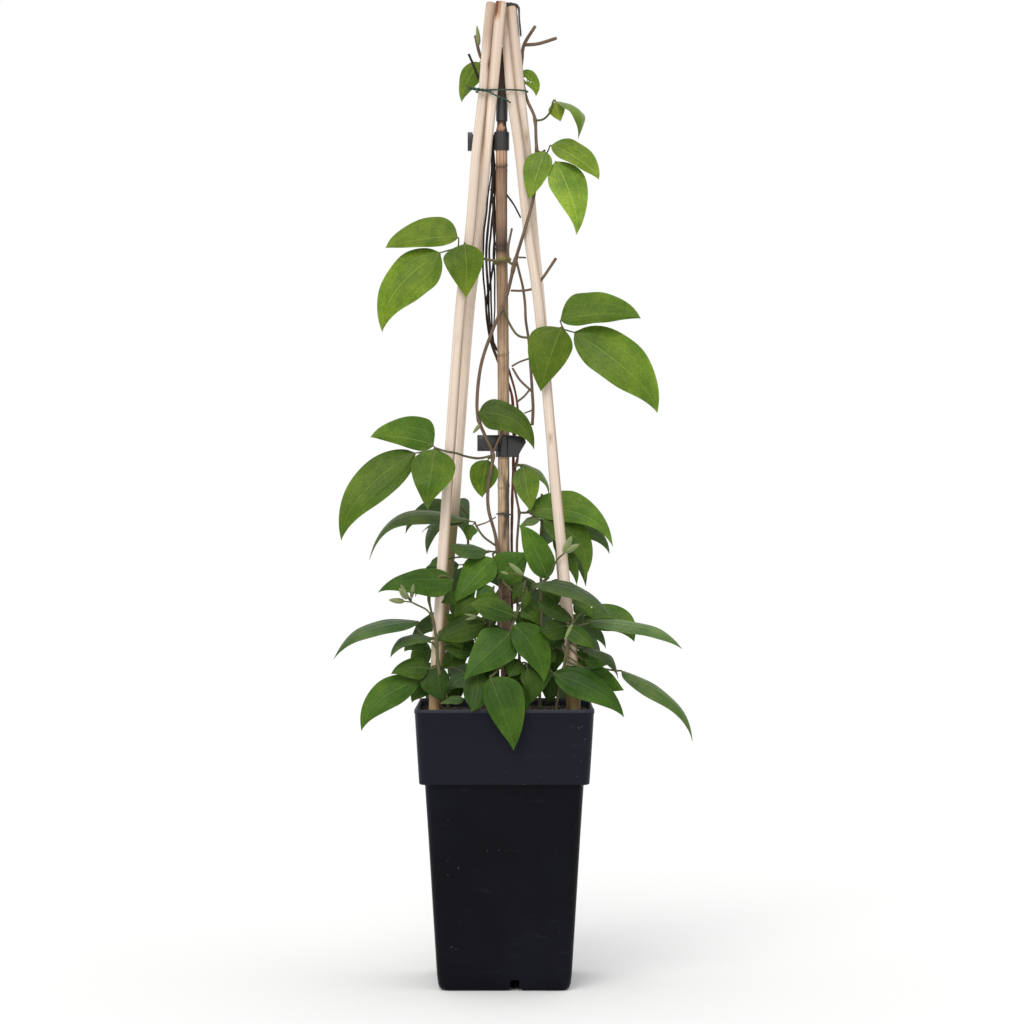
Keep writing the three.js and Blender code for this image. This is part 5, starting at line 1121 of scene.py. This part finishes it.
def makeCane(number, name, own):
    s, chip, shaded = caneLook, caneLook["chip"], caneLook["shaded"]
    path = curveThrough(own["line"], s["spacing"])
    if own["rise"]:
        away = (path[0] - path[2]).normalized() * own["rise"]
        path = [path[0] + away * share for share in s["riseSteps"]] + path
    else:
        path.insert(1, path[0].lerp(path[1], 0.15))
    total = sum((b - a).length for a, b in zip(path, path[1:]))
    seam = math.radians(own["seam"])
    footStainAndShadeShare, footStainAndShadeTone = s["footStainAndShade"][name.split("_")[2]]

    def chipTurn(angle, length, width):
        # how far round the chip this is, or None outside it
        turn = fromHeading(angle, chip["heading"])
        return turn if name == chip["cane"] and length < chip["high"] and abs(turn) < width else None

    def radiusAt(_, length):
        edge = s["worn"] * (math.exp(-length / 0.5) + math.exp(-(total - length) / 0.5))
        return s["radius"] * (1 + s["bow"] * waver(length * 0.012, number * 5.1, 0)) - edge

    def section(angle, length):
        off = fromHeading(angle, seam + 0.25 * waver(length * 0.006, number * 3.3, 4))
        depth, width = s["seam"]
        dent = depth * hump(off, width) + s["flat"] * hump(off - 0.75, 0.5)
        turn = chipTurn(angle, length, chip["width"])
        if turn is not None:
            slope = min(1.0, (chip["high"] - length) / chip["slope"])
            dent += chip["depth"] * slope * (1 - (turn / chip["width"]) ** 4)
        return 1 - dent

    def tone(length, angle):
        # browner low down: soil stain with painted shade among the leaves, strongest on the right canes
        start, over = s["low"]
        shade = toned([own["lift"]] * 3, s["lowStainAndShadeTone"], within((length - total + start) / over) * footStainAndShadeShare)
        if name == shaded["cane"]:
            shade = toned(shade, shaded["tone"], within((length - shaded["from"]) / shaded["over"]))
        # the split line's dark: its own colour with painted shade where the paired canes touch
        dark, change, width = s["seamDarkAndShade"]
        line = (dark + change * waver(length * 0.02, seam * 9, 1)) * hump(fromHeading(angle, seam), width)
        dark, width = s["knot"]
        for spot, heading, reach in own["knots"]:
            around = fromHeading(angle, math.radians(heading))
            line = max(line, dark * hump(length - spot, reach) * hump(around, width))
        dark, width = s["ring"]
        line = max(line, dark * hump(length - own["ring"], width))
        # the darker top: browner wood with painted shade from the canes beside it
        reach, topStainAndShadeTone = own["top"]
        shade = toned(shade, topStainAndShadeTone, within((reach - length) / s["topStainAndShadeFade"]))
        # the foot's tone: soil stain, with painted shade on the right canes
        height, over = s["footStainAndShadeTop"]
        here = blendTo(path[0].z, path[-1].z, length / total)
        shade = toned(shade, footStainAndShadeTone, within((height - here) / over))
        turn = chipTurn(angle, length, chip["width"] * 1.15)
        if turn is not None:
            rim = length > chip["high"] - chip["edge"] or turn > chip["width"] * 0.5
            shade = toned(shade, chip["edgeTone"] if rim else chip["tone"])
        shade = [c * (1 - line * deep) for c, deep in zip(shade, s["lineTint"])]
        return toned(shade, s["endTone"], math.exp(-length / s["endFade"]))

    piece = newPiece()
    addTube(piece, path, radiusAt, s["sides"], tone, section, seed=number * 11.0)
    standFor(finishPiece(piece, "split_" + name, [paleCane]), "cane", name)


for number, (name, own) in enumerate(canes.items()):
    makeCane(number, name, own)
print("canes made")

bambooLook = {
    "radius": 3.95, "topRadius": 3.2, "taper": 584, "sides": 26, "spacing": 1.6, "rise": 7, "tip": 1.6,
    "nodes": [556, 502, 427, 337, 262, 196], "rim": 0.34, "groove": 0.16, "lift": 1.5,
    # tones down the cane: height and colour
    "zones": [(640, (0.05, 0.034, 0.026)), (568, (0.05, 0.036, 0.03)), (566.5, (0.38, 0.27, 0.2)),
              (560, (0.34, 0.23, 0.16)), (556, (0.14, 0.09, 0.062)), (548, (0.2, 0.133, 0.09)),
              (520, (0.2, 0.133, 0.093)), (506, (0.11, 0.072, 0.052)), (498, (0.06, 0.042, 0.03)),
              (494, (0.27, 0.19, 0.12)), (400, (0.35, 0.26, 0.18)), (338, (0.42, 0.33, 0.22)),
              (288, (0.28, 0.2, 0.13)), (262, (0.17, 0.115, 0.075)), (190, (0.09, 0.06, 0.04)),
              (60, (0.05, 0.035, 0.025))],
    # the dark stain's lowest and highest place, and the round scar: height, heading, radius, tone
    "stain": (270, 362), "scar": (582.5, math.radians(98), 2.4, (0.5, 0.29, 0.18)),
}


def zoneTone(zones, height):
    # the tone at a height, between the nearest rows of a table that runs downwards
    height = min(max(height, zones[-1][0]), zones[0][0])
    for (high, a), (low, b) in zip(zones, zones[1:]):
        if low <= height <= high:
            tone = blendTones(a, b, (high - height) / (high - low))
    return tone


def makeBamboo():
    s = bambooLook
    path = curveThrough(centreLine, s["spacing"])
    # its splintered tip stands a little higher, between the tied canes
    path = [path[0] + Vector((0, 0, s["rise"] * share)) for share in (1, 0.7, 0.35)] + path
    top = path[0].z

    def radiusAt(_, length):
        z = top - length * 0.9995
        radius = blendTo(s["radius"], s["topRadius"], within((z - s["taper"] + 3) / 3))
        radius = blendTo(s["tip"], radius, min(1.0, length / s["rise"]))
        for node in s["nodes"]:
            radius += s["rim"] * (hump(z - node - 1, 1.1) + 0.55 * hump(z - node + 2.2, 1.0))
            radius -= s["groove"] * hump(z - node + 0.6, 0.5)
        return radius - 0.3 * math.exp(-length / 0.6) + 0.05 * waver(length * 0.05, 2, 2)

    def tone(length, angle):
        z = top - length * 0.9995
        x, y = math.cos(angle), math.sin(angle)
        mottle = noise.fractal(Vector((x * 2, y * 2, z * 0.14)), 0.9, 2.1, 3)
        # painted shade: the cane's sides darker, its right side most, as a round cane looks lit from the front
        # left
        edge = 0.55 * max(0.0, math.cos(angle - 0.1)) ** 3 + 0.3 * max(0.0, -x) ** 4
        dark = max(0.35 * mottle, edge, *(0.5 * hump(z - node + 0.6, 0.8) for node in s["nodes"]))
        if s["stain"][0] < z < s["stain"][1]:
            blot = noise.fractal(Vector((x * 1.2, y * 1.2, z * 0.06)), 0.8, 2.1, 3)
            dark = max(dark, min(0.8, blot * 0.9 + max(0.0, math.cos(angle - 0.5)) - 0.25))
        height, heading, reach, scarTone = s["scar"]
        if math.hypot(fromHeading(angle, heading) * s["topRadius"], z - height) < reach:
            return scarTone
        return [c * s["lift"] * (1 - min(0.88, dark)) for c in zoneTone(s["zones"], z)]

    piece = newPiece()
    addTube(piece, path, radiusAt, s["sides"], tone, seed=3.0)
    standFor(finishPiece(piece, "bamboo_centre_cane", [brownBamboo]), "bamboo", "centre_cane")
    return path


bambooPath = makeBamboo()
print("centre cane made")

# sleeve, clips, ties and band

fittings = {
    "sleeve": {"low": 587.5, "high": 605.5, "inner": 3.5, "outer": 4.0},
    # a clip's centre, height and collar, then its plates: outline in X and Z, front, back and rounding
    "upper_clip": {"x": -2, "y": 3.4, "low": 567.5, "high": 580, "inner": 4.3, "outer": 5.3, "plates": [
        ([(-24.3, 568.5), (-5.6, 568.5), (-5.6, 579), (-24.3, 579)], 6.2, 8.2, 0.5),
        ([(-25.3, 567.5), (-21.9, 567.5), (-21.9, 580), (-25.3, 580)], 2.2, 8.2, 0.8)]},
    "lower_clip": {"x": -0.6, "y": 0, "low": 357.5, "high": 372.5, "inner": 4.1, "outer": 5.5, "plates": [
        ([(-18.6, 361.5), (-4, 361.5), (-4, 372.5), (-18.6, 372.5)], -5.4, -1.6, 0.8),
        ([(2, 358), (8.6, 357.2), (14.7, 367.5), (13.5, 371.5), (2, 372.5)], -5.4, -2.4, 0.7)]},
    "tie": {"x": -0.5, "radius": 4.9, "height": 318, "rise": 0.9, "steps": 24, "cord": 0.5, "knot": 0.75,
            "knotLine": [(-1.6, -5.2, 319.6), (-0.4, -4.9, 318.4), (1.2, -5.4, 317.2)]},
    "band": {"line": [(1.2, 0, 665.4), (5.4, 0, 665.6), (8.6, 0, 664.3), (9.5, 0, 656), (10.6, 0, 645)],
             "front": -4.4, "back": 1.4, "thick": 1.2, "topThick": 2.2, "round": 0.35},
    "wire": {
        "radius": 0.6, "strand": 0.62, "pitch": 5.5, "spacing": 0.5,
        "loop": [(-19.3, 1, 607.4), (-18.3, -2.8, 607.5), (-14.5, -5.2, 607.6), (-8.5, -6.5, 607.6),
                 (-2, -6.9, 607.6), (5, -6.3, 607.6), (12.5, -3.7, 607.5), (15.7, -0.2, 607.4),
                 (14.4, 4.9, 607.4), (8.5, 9.2, 607.6), (1.5, 10.9, 608), (-4.5, 10.7, 608.2), (-12, 7.2, 608),
                 (-17.6, 5, 607.6), (-19.4, 1.6, 607.2)],
        "twist": [(-24.2, -5.4, 608.8), (-19.5, -6.3, 608.1), (-14.5, -6.8, 607.3), (-9, -6.9, 606.9)],
        "tail": [(-11.5, -7.1, 606.8), (-6.5, -7.9, 603.8), (-2, -8, 601.8), (1.2, -7.6, 600.6),
                 (4, -6.6, 598.6)],
        "frays": [[(-23.5, -5.4, 608.8), (-26, -5.8, 610), (-28.2, -5.2, 611.6)],
                  [(-23.5, -5.5, 608.6), (-25.8, -6.4, 607.6), (-27.6, -6.6, 606.2)]],
    },
}


def addCollar(piece, path, inner, outer, sides=36, edge=0.25):
    # a ring of wall along a short path: round one edge, along outside, round the other edge and back inside
    turn = [(inner, edge), (inner + edge, 0.0), (outer - edge, 0.0), (outer, edge)]
    steps = [(path[0], radius, push) for radius, push in turn] + [(point, outer, 0.0) for point in path[1:-1]]
    steps += [(path[-1], radius, -push) for radius, push in reversed(turn)]
    steps += [(point, inner, 0.0) for point in reversed(path[1:-1])]
    rise = (path[-1] - path[0]).normalized()
    rings = []
    for point, radius, push in steps:
        centre = point + rise * push
        rings.append([addVert(piece, (x, y, centre.z)) for x, y in circle(centre.x, centre.y, radius, sides)])
    addSkin(piece, rings + rings[:1], False)


def addPlate(piece, outline, front, back, edge):
    # a flat plate in X and Z with rounded edges, from front to back in Y
    middle = Vector([sum(values) / len(outline) for values in zip(*outline)])
    rings = []
    for y, inset in ((front, edge), (front + edge * 0.3, edge * 0.35), (front + edge, 0), (back - edge, 0),
                     (back - edge * 0.3, edge * 0.35), (back, edge)):
        away = [Vector(point) - middle for point in outline]
        spots = [middle + v * (1 - inset / max(v.length, 1e-6)) for v in away]
        rings.append([(spot.x, y, spot.y) for spot in spots])
    addLoft(piece, rings)


def finishFitting(piece, name, node, material=None, slotName="black_plastic"):
    thing = finishPiece(piece, name, [material or blackPlastic], "plain", 40)
    facesOutward(thing)
    standFor(thing, slotName, node)


def makeFittings():
    s = fittings["sleeve"]
    collar = newPiece()
    line = [p for p in reversed(bambooPath) if s["low"] <= p.z <= s["high"]]
    addCollar(collar, line, s["inner"], s["outer"])
    finishFitting(collar, "black_sleeve", "centre_cane_sleeve")

    for node, name in (("upper_clip", "upper_cane_clip"), ("lower_clip", "lower_cane_clip")):
        s = fittings[node]
        clip = newPiece()
        line = [Vector((s["x"], s["y"], z)) for z in (s["low"], s["low"] + 4, s["high"] - 4, s["high"])]
        addCollar(clip, line, s["inner"], s["outer"])
        for plate in s["plates"]:
            addPlate(clip, *plate)
        finishFitting(clip, name, node)

    s = fittings["tie"]
    tie = newPiece()
    turn = []
    for i in range(s["steps"] + 1):
        angle = math.tau * i / s["steps"]
        turn.append((s["x"] + s["radius"] * math.sin(angle), -s["radius"] * math.cos(angle),
                     s["height"] + s["rise"] * i / s["steps"]))
    addTube(tie, curveThrough(turn, 1.5), s["cord"], 10)
    addTube(tie, curveThrough(s["knotLine"], 0.8),
            lambda share, _: s["knot"] * (0.7 + 0.3 * math.sin(math.pi * share)), 10)
    finishFitting(tie, "thin_black_tie", "centre_cane_tie")

    s = fittings["band"]
    band = newPiece()
    line = curveThrough(s["line"], 1.2)
    rings = []
    for index, point in enumerate(line):
        along = directionAt(line, index)
        out = Vector((-along.z, 0, along.x))
        thick = blendTo(s["topThick"], s["thick"], min(1.0, index / len(line) * 2.2))
        thick *= 1 + 0.22 * waver(index * 0.9, 3, 5)
        front, back = (s["front"], s["front"] + s["round"]), (s["back"], s["back"] - s["round"])
        section = [(0.0, front[1]), (0.3, front[0]), (thick - 0.3, front[0]), (thick, front[1]),
                   (thick, back[1]), (thick - 0.3, back[0]), (0.3, back[0]), (0.0, back[1])]
        rings.append([addVert(band, point + out * off + Vector((0, y, 0))) for off, y in section])
    addSkin(band, rings)
    finishFitting(band, "black_top_band", "top_band")

    s = fittings["wire"]
    wire = newPiece()
    addTube(wire, curveThrough(s["loop"], 1.5), s["radius"], 12)
    line = curveThrough(s["twist"], s["spacing"])
    for start in (0.0, math.pi):
        twisted = []
        for index, point in enumerate(line):
            along = directionAt(line, index)
            side = along.cross(Vector((0, 0, 1))).normalized()
            angle = start + index * s["spacing"] / s["pitch"] * math.tau
            twisted.append(point + (side * math.cos(angle) + along.cross(side) * math.sin(angle)) * s["radius"])
        addTube(wire, twisted, s["strand"], 10)
    addTube(wire, curveThrough(s["tail"], 1.0), s["radius"] * 0.95, 10)
    for line in s["frays"]:
        addTube(wire, curveThrough(line, 0.6), lambda share, _: s["radius"] * blendTo(0.7, 0.3, share), 8)
    finishFitting(wire, "green_wire_tie", "wire_tie", wireCoating, "wire_coating")


makeFittings()
print("sleeve, clips, ties and band made")

# dead stems

deadLook = {
    "sides": 9, "spacing": 2.5, "redFrom": 440, "redOver": 30, "red": (4.2, 2.2, 1.8), "thin": 0.92,
    # dry strands beside them: shift in X and Y, start and end share of the first stem, radius
    "strands": [(-2.5, 0.8, 0.15, 0.46, 0.7), (2.2, 1.6, 0.12, 0.45, 0.75), (5.2, 1.0, 0.2, 0.42, 0.65),
                (0.8, 2.4, 0.12, 0.24, 0.85)],
}


def addDeadStem(piece, number, points, startRadius, endRadius):
    s = deadLook
    path = curveThrough(points, s["spacing"])

    def heightAt(length):
        return path[min(len(path) - 1, round(length / s["spacing"]))].z

    def radiusAt(share, length):
        thin = s["thin"] if heightAt(length) > s["redFrom"] else 1.0
        uneven = 1 + 0.18 * waver(length * 0.12, number * 9.0, 1)
        return thin * blendTo(startRadius, endRadius, share) * uneven

    def tone(length, _):
        low = within((s["redFrom"] - heightAt(length)) / s["redOver"])
        return [blendTo(1.0, c, low) for c in s["red"]]

    addTube(piece, path, radiusAt, s["sides"], tone,
            lambda angle, length: 1 + 0.1 * math.sin(3 * angle + length * 0.2), True, number * 5.0)


def addStrand(piece, number, line, dx, dy, radius):
    path = []
    for index, point in enumerate(line):
        away = math.sin(math.pi * index / (len(line) - 1)) ** 0.5
        sway = Vector((waver(index * 0.13, number, 0), waver(index * 0.11, number, 7), 0))
        path.append(point + (Vector((dx, dy, 0)) + sway * 0.9) * away)
    addTube(piece, path, lambda share, _: radius * (0.6 + 0.4 * math.sin(math.pi * share)), 7, rounded=True,
            seed=50.0 + number)


def makeDeadStems():
    piece = newPiece()
    for number, stem in enumerate(deadStems):
        addDeadStem(piece, number, *stem)
    main = curveThrough(deadStems[0][0], deadLook["spacing"])
    for number, (dx, dy, start, end, radius) in enumerate(deadLook["strands"]):
        line = main[int(start * len(main)):int(end * len(main))]
        addStrand(piece, number, line, dx, dy, radius)
    standFor(finishPiece(piece, "dry_stems", [deadBark]), "dead_stem", "dead_stems")


makeDeadStems()
print("dead stems made")

# shoots at the back, by the same rule and draws as their solids

backLeaf = {
    "size": (1, 0.86), "sizeRange": (0.9, 1.1), "swing": (0.68, 0.82), "forward": (0.45, 0.3),
    "forwardRange": (0.8, 1.2), "drop": (0.85, 0.5), "dropRange": (0.85, 1.15), "width": (0.36, 0.44),
    "lift": 0.4, "arch": 0.06, "hook": 0.05, "bend": 0.14, "neck": 4, "seed": 29,
    "stalkRise": 7, "cut": 0.93, "stalkRadii": (0.9, 0.8), "stemRadii": (0.95, 1.1),
}
# foot, top and leaves as (height, heading, reach, length)
backShoots = {
    "back_left_shoot": ((-22, 24, 165), (-26, 34, 322),
                        [(203, 118, 42, 44), (240, 124, 22, 46), (276, 100, 24, 50), (318, 140, 16, 50)]),
    "back_right_shoot": ((24, 22, 165), (26, 36, 345),
                         [(201, 70, 44, 46), (236, 52, 22, 46), (262, 88, 30, 50), (305, 42, 18, 52)]),
}


def makeDraw(state):
    def draw(low, high):
        nonlocal state
        state = math.fmod(state * 1103515245.0 + 12345.0, 2147483648.0)
        return low + (high - low) * state / 2147483648.0
    return draw


def threeLeaflets(root, out, length, stalk, draw):
    b = backLeaf
    rows = []
    for side in (-1, 0, 1):
        kind = abs(side)
        reach = length * b["size"][kind] * draw(*b["sizeRange"])
        swing = side * draw(*b["swing"])
        forward = b["forward"][kind] * draw(*b["forwardRange"])
        drop = b["drop"][kind] * draw(*b["dropRange"])
        tip = (root[0] + reach * (out[0] * forward - out[1] * swing),
               root[1] + reach * (out[1] * forward + out[0] * swing), root[2] - reach * drop)
        rows.append((root, tip, reach * draw(*b["width"]), (*out, b["lift"]), b["arch"], b["hook"],
                     side * b["bend"], b["neck"], () if side else stalk, b["stalkRadii"]))
    return rows


def growBackShoots():
    b = backLeaf
    draw = makeDraw(float(b["seed"]))
    for name, (foot, top, leaves) in backShoots.items():
        foot, top = Vector(foot), Vector(top)
        leaflets = []
        for height, heading, reach, length in leaves:
            start = foot.lerp(top, (height - foot.z) / (top.z - foot.z))
            out = (math.cos(math.radians(heading)), math.sin(math.radians(heading)))
            end = start + Vector((reach * out[0], reach * out[1], b["stalkRise"]))
            middle = start.lerp(end, 0.5)
            middle.z = end.z
            leaflets += threeLeaflets(tuple(end), out, length, [start, middle], draw)
        shoots[name] = {"stems": [([foot.lerp(top, b["cut"]), foot], *b["stemRadii"])], "leaflets": leaflets}


growBackShoots()

# blade tones by height, from the top down: paler above and darker below, partly the blades' own colour
# and partly painted shade low in the foliage
leafTonesAndShade = [(620, (0.126, 0.196, 0.021)), (560, (0.17, 0.25, 0.029)), (520, (0.132, 0.212, 0.022)),
             (480, (0.112, 0.19, 0.019)), (440, (0.096, 0.165, 0.016)), (340, (0.082, 0.15, 0.0165)),
             (300, (0.05, 0.102, 0.0125)), (190, (0.044, 0.098, 0.0115))]
leafLook = {
    "lift": (0.86, 1.16), "yellow": (0.94, 1.1), "blue": (0.8, 1.2), "shadeArch": 0.07, "shadeHook": 0.05,
    # painted sheen on blades that lie flat and are seen edge on: a paler, bluer tint for the sky's reflection;
    # from what upward face, and its tint
    "edgeOnSheenTintFrom": 0.59, "edgeOnSheenTint": (1.15, 0.97, 2.3),
    # the eaten spot in the small leaf at the top right, as rows and columns of its blade
    "eaten": {("climbing_stem", 1): {(3, 10), (3, 11), (4, 10), (4, 11), (5, 11), (6, 8), (6, 9), (7, 8),
                                     (7, 9), (8, 8), (8, 9), (9, 9), (10, 8), (12, 7)}},
    # the thick green turn of a leaf stalk round the centre cane, in degrees
    "turn": {"centre": (-1.9, 0), "reach": 5.1, "radius": 1.75, "height": 491.6, "tone": (0.19, 0.22, 0.04),
             "from": -35, "to": 215, "drop": 2.4, "steps": 12},
    # how green the first stem is and how dry the stalks get, on woody and on soft shoots
    "woody": ("climbing_stem", "right_stem"), "green": (0.12, 0.85), "dry": (0.45, 0.2),
}


def addStalkTurn(piece):
    s = leafLook["turn"]
    line = []
    for step in range(s["steps"] + 1):
        share = step / s["steps"]
        angle = math.radians(blendTo(s["from"], s["to"], share))
        line.append((s["centre"][0] + s["reach"] * math.cos(angle),
                     s["centre"][1] - s["reach"] * math.sin(angle),
                     s["height"] + s["drop"] * (0.5 - share)))
    stemTube(piece, line, s["radius"], s["radius"] * 0.8, s["tone"], 77.0)


def makeShoot(number, name, shoot):
    s = leafLook
    chance = random.Random(100 + number)
    blades, stems, buds = newPiece(), newPiece(), newPiece()
    if name == s["woody"][0]:
        addStalkTurn(stems)
    soft = name not in s["woody"]
    rows = [row + leafDefaults[len(row) - 7:] for row in shoot["leaflets"]]
    for first, second, root, tip, width, face, bend, *form in shoot.get("shadeLeaflets", ()):
        rows.append((root, tip, width, face, s["shadeArch"], s["shadeHook"], bend, leafDefaults[0],
                     [first, second], leafDefaults[2], form[0] if form else None))
    knots = [Vector(row[8][0]) for row in rows if row[8]]
    knots += [Vector(points[0]) for points, _, _ in shoot["stems"][1:]]
    for index, (points, startRadius, endRadius) in enumerate(shoot["stems"]):
        def tone(length, _, index=index, seed=chance.uniform(0, 50)):
            share = 0.5 + 0.5 * waver(length * 0.03, seed, 0)
            if soft and index:
                return blendTones(stemLook["green"], stemLook["tip"], share)
            return blendTones(stemLook["woody"], stemLook["green"], min(1.0, s["green"][soft] * 2 * share))
        stemTube(stems, points, startRadius, endRadius, tone, number * 31 + index * 7.0, () if index else knots)
    for index, row in enumerate(rows):
        root, upward, stalk, radii, form = row[0], row[3][2], *row[8:]
        lift, yellow, blue = (chance.uniform(*s[key]) for key in ("lift", "yellow", "blue"))
        # tone by height, with painted shade low in the foliage
        tone = [a * lift * b for a, b in zip(zoneTone(leafTonesAndShade, root[2]), (yellow, 1.0, blue))]
        dry = chance.uniform(0.0, s["dry"][soft])
        stalkTone = blendTones(stemLook["green"], stemLook["woody"], dry)
        if stalk:
            stemTube(stems, [*stalk, root], *radii, stalkTone, number * 17 + index * 3.0)
        # each blade's lightness, with painted light and shade for how it lies to the light
        if form:
            tone = [c * form[3] for c in tone]
        # painted sheen: blades seen edge on get a paler, bluer tint for the sky's reflection
        if upward >= s["edgeOnSheenTintFrom"]:
            tone = toned(tone, s["edgeOnSheenTint"])
        addLeaflet(blades, stems, row, tone, stalkTone, chance, s["eaten"].get((name, index), ()))
    standFor(finishPiece(blades, name + "_blades", [leafTop, leafUnder], "leaf", 70), "leaf", name)
    standFor(finishPiece(stems, name + "_stalks", [stemBark]), "leaf", name)
    if shoot.get("buds"):
        for bud in shoot["buds"]:
            addBud(buds, *bud, chance)
        standFor(finishPiece(buds, name + "_buds", [budDown]), "leaf", name)


for number, (name, shoot) in enumerate(shoots.items()):
    makeShoot(number, name, shoot)
print("shoots made")

# floor and light

studio = {
    "floorHalf": 14.0, "floorColour": (0.72, 0.72, 0.72, 1.0), "worldColour": (1, 1, 1, 1), "world": 1.0,
    # direction it comes from, strength, spread in degrees, colour
    "suns": [("keyLight", (-0.32, -1.0, 1.05), 1.45, 34.0, (1.0, 0.99, 0.97)),
             ("skyLight", (0.1, 0.15, 1.0), 0.32, 80.0, (1.0, 1.0, 1.0))],
}


def lightStudio():
    s = studio
    mesh = bpy.data.meshes.new("studioFloor")
    h = s["floorHalf"]
    mesh.from_pydata([(-h, -h, 0), (h, -h, 0), (h, h, 0), (-h, h, 0)], [], [(0, 1, 2, 3)])
    material, _, shader = newMaterial("floorPaper", 0.9)
    shader.inputs["Base Color"].default_value = s["floorColour"]
    mesh.materials.append(material)
    addObject("studioFloor", mesh)
    for name, away, strength, spread, tint in s["suns"]:
        data = bpy.data.lights.new(name, "SUN")
        data.energy = strength
        data.angle = math.radians(spread)
        data.color = tint
        addObject(name, data).rotation_euler = Vector(away).to_track_quat("Z", "Y").to_euler()
    world = bpy.data.worlds.new("studioWorld")
    world.use_nodes = True
    background = world.node_tree.nodes["Background"].inputs
    background["Color"].default_value = s["worldColour"]
    background["Strength"].default_value = s["world"]
    bpy.context.scene.world = world
    bpy.context.scene.view_settings.view_transform = "Standard"


lightStudio()
print("studio lit")
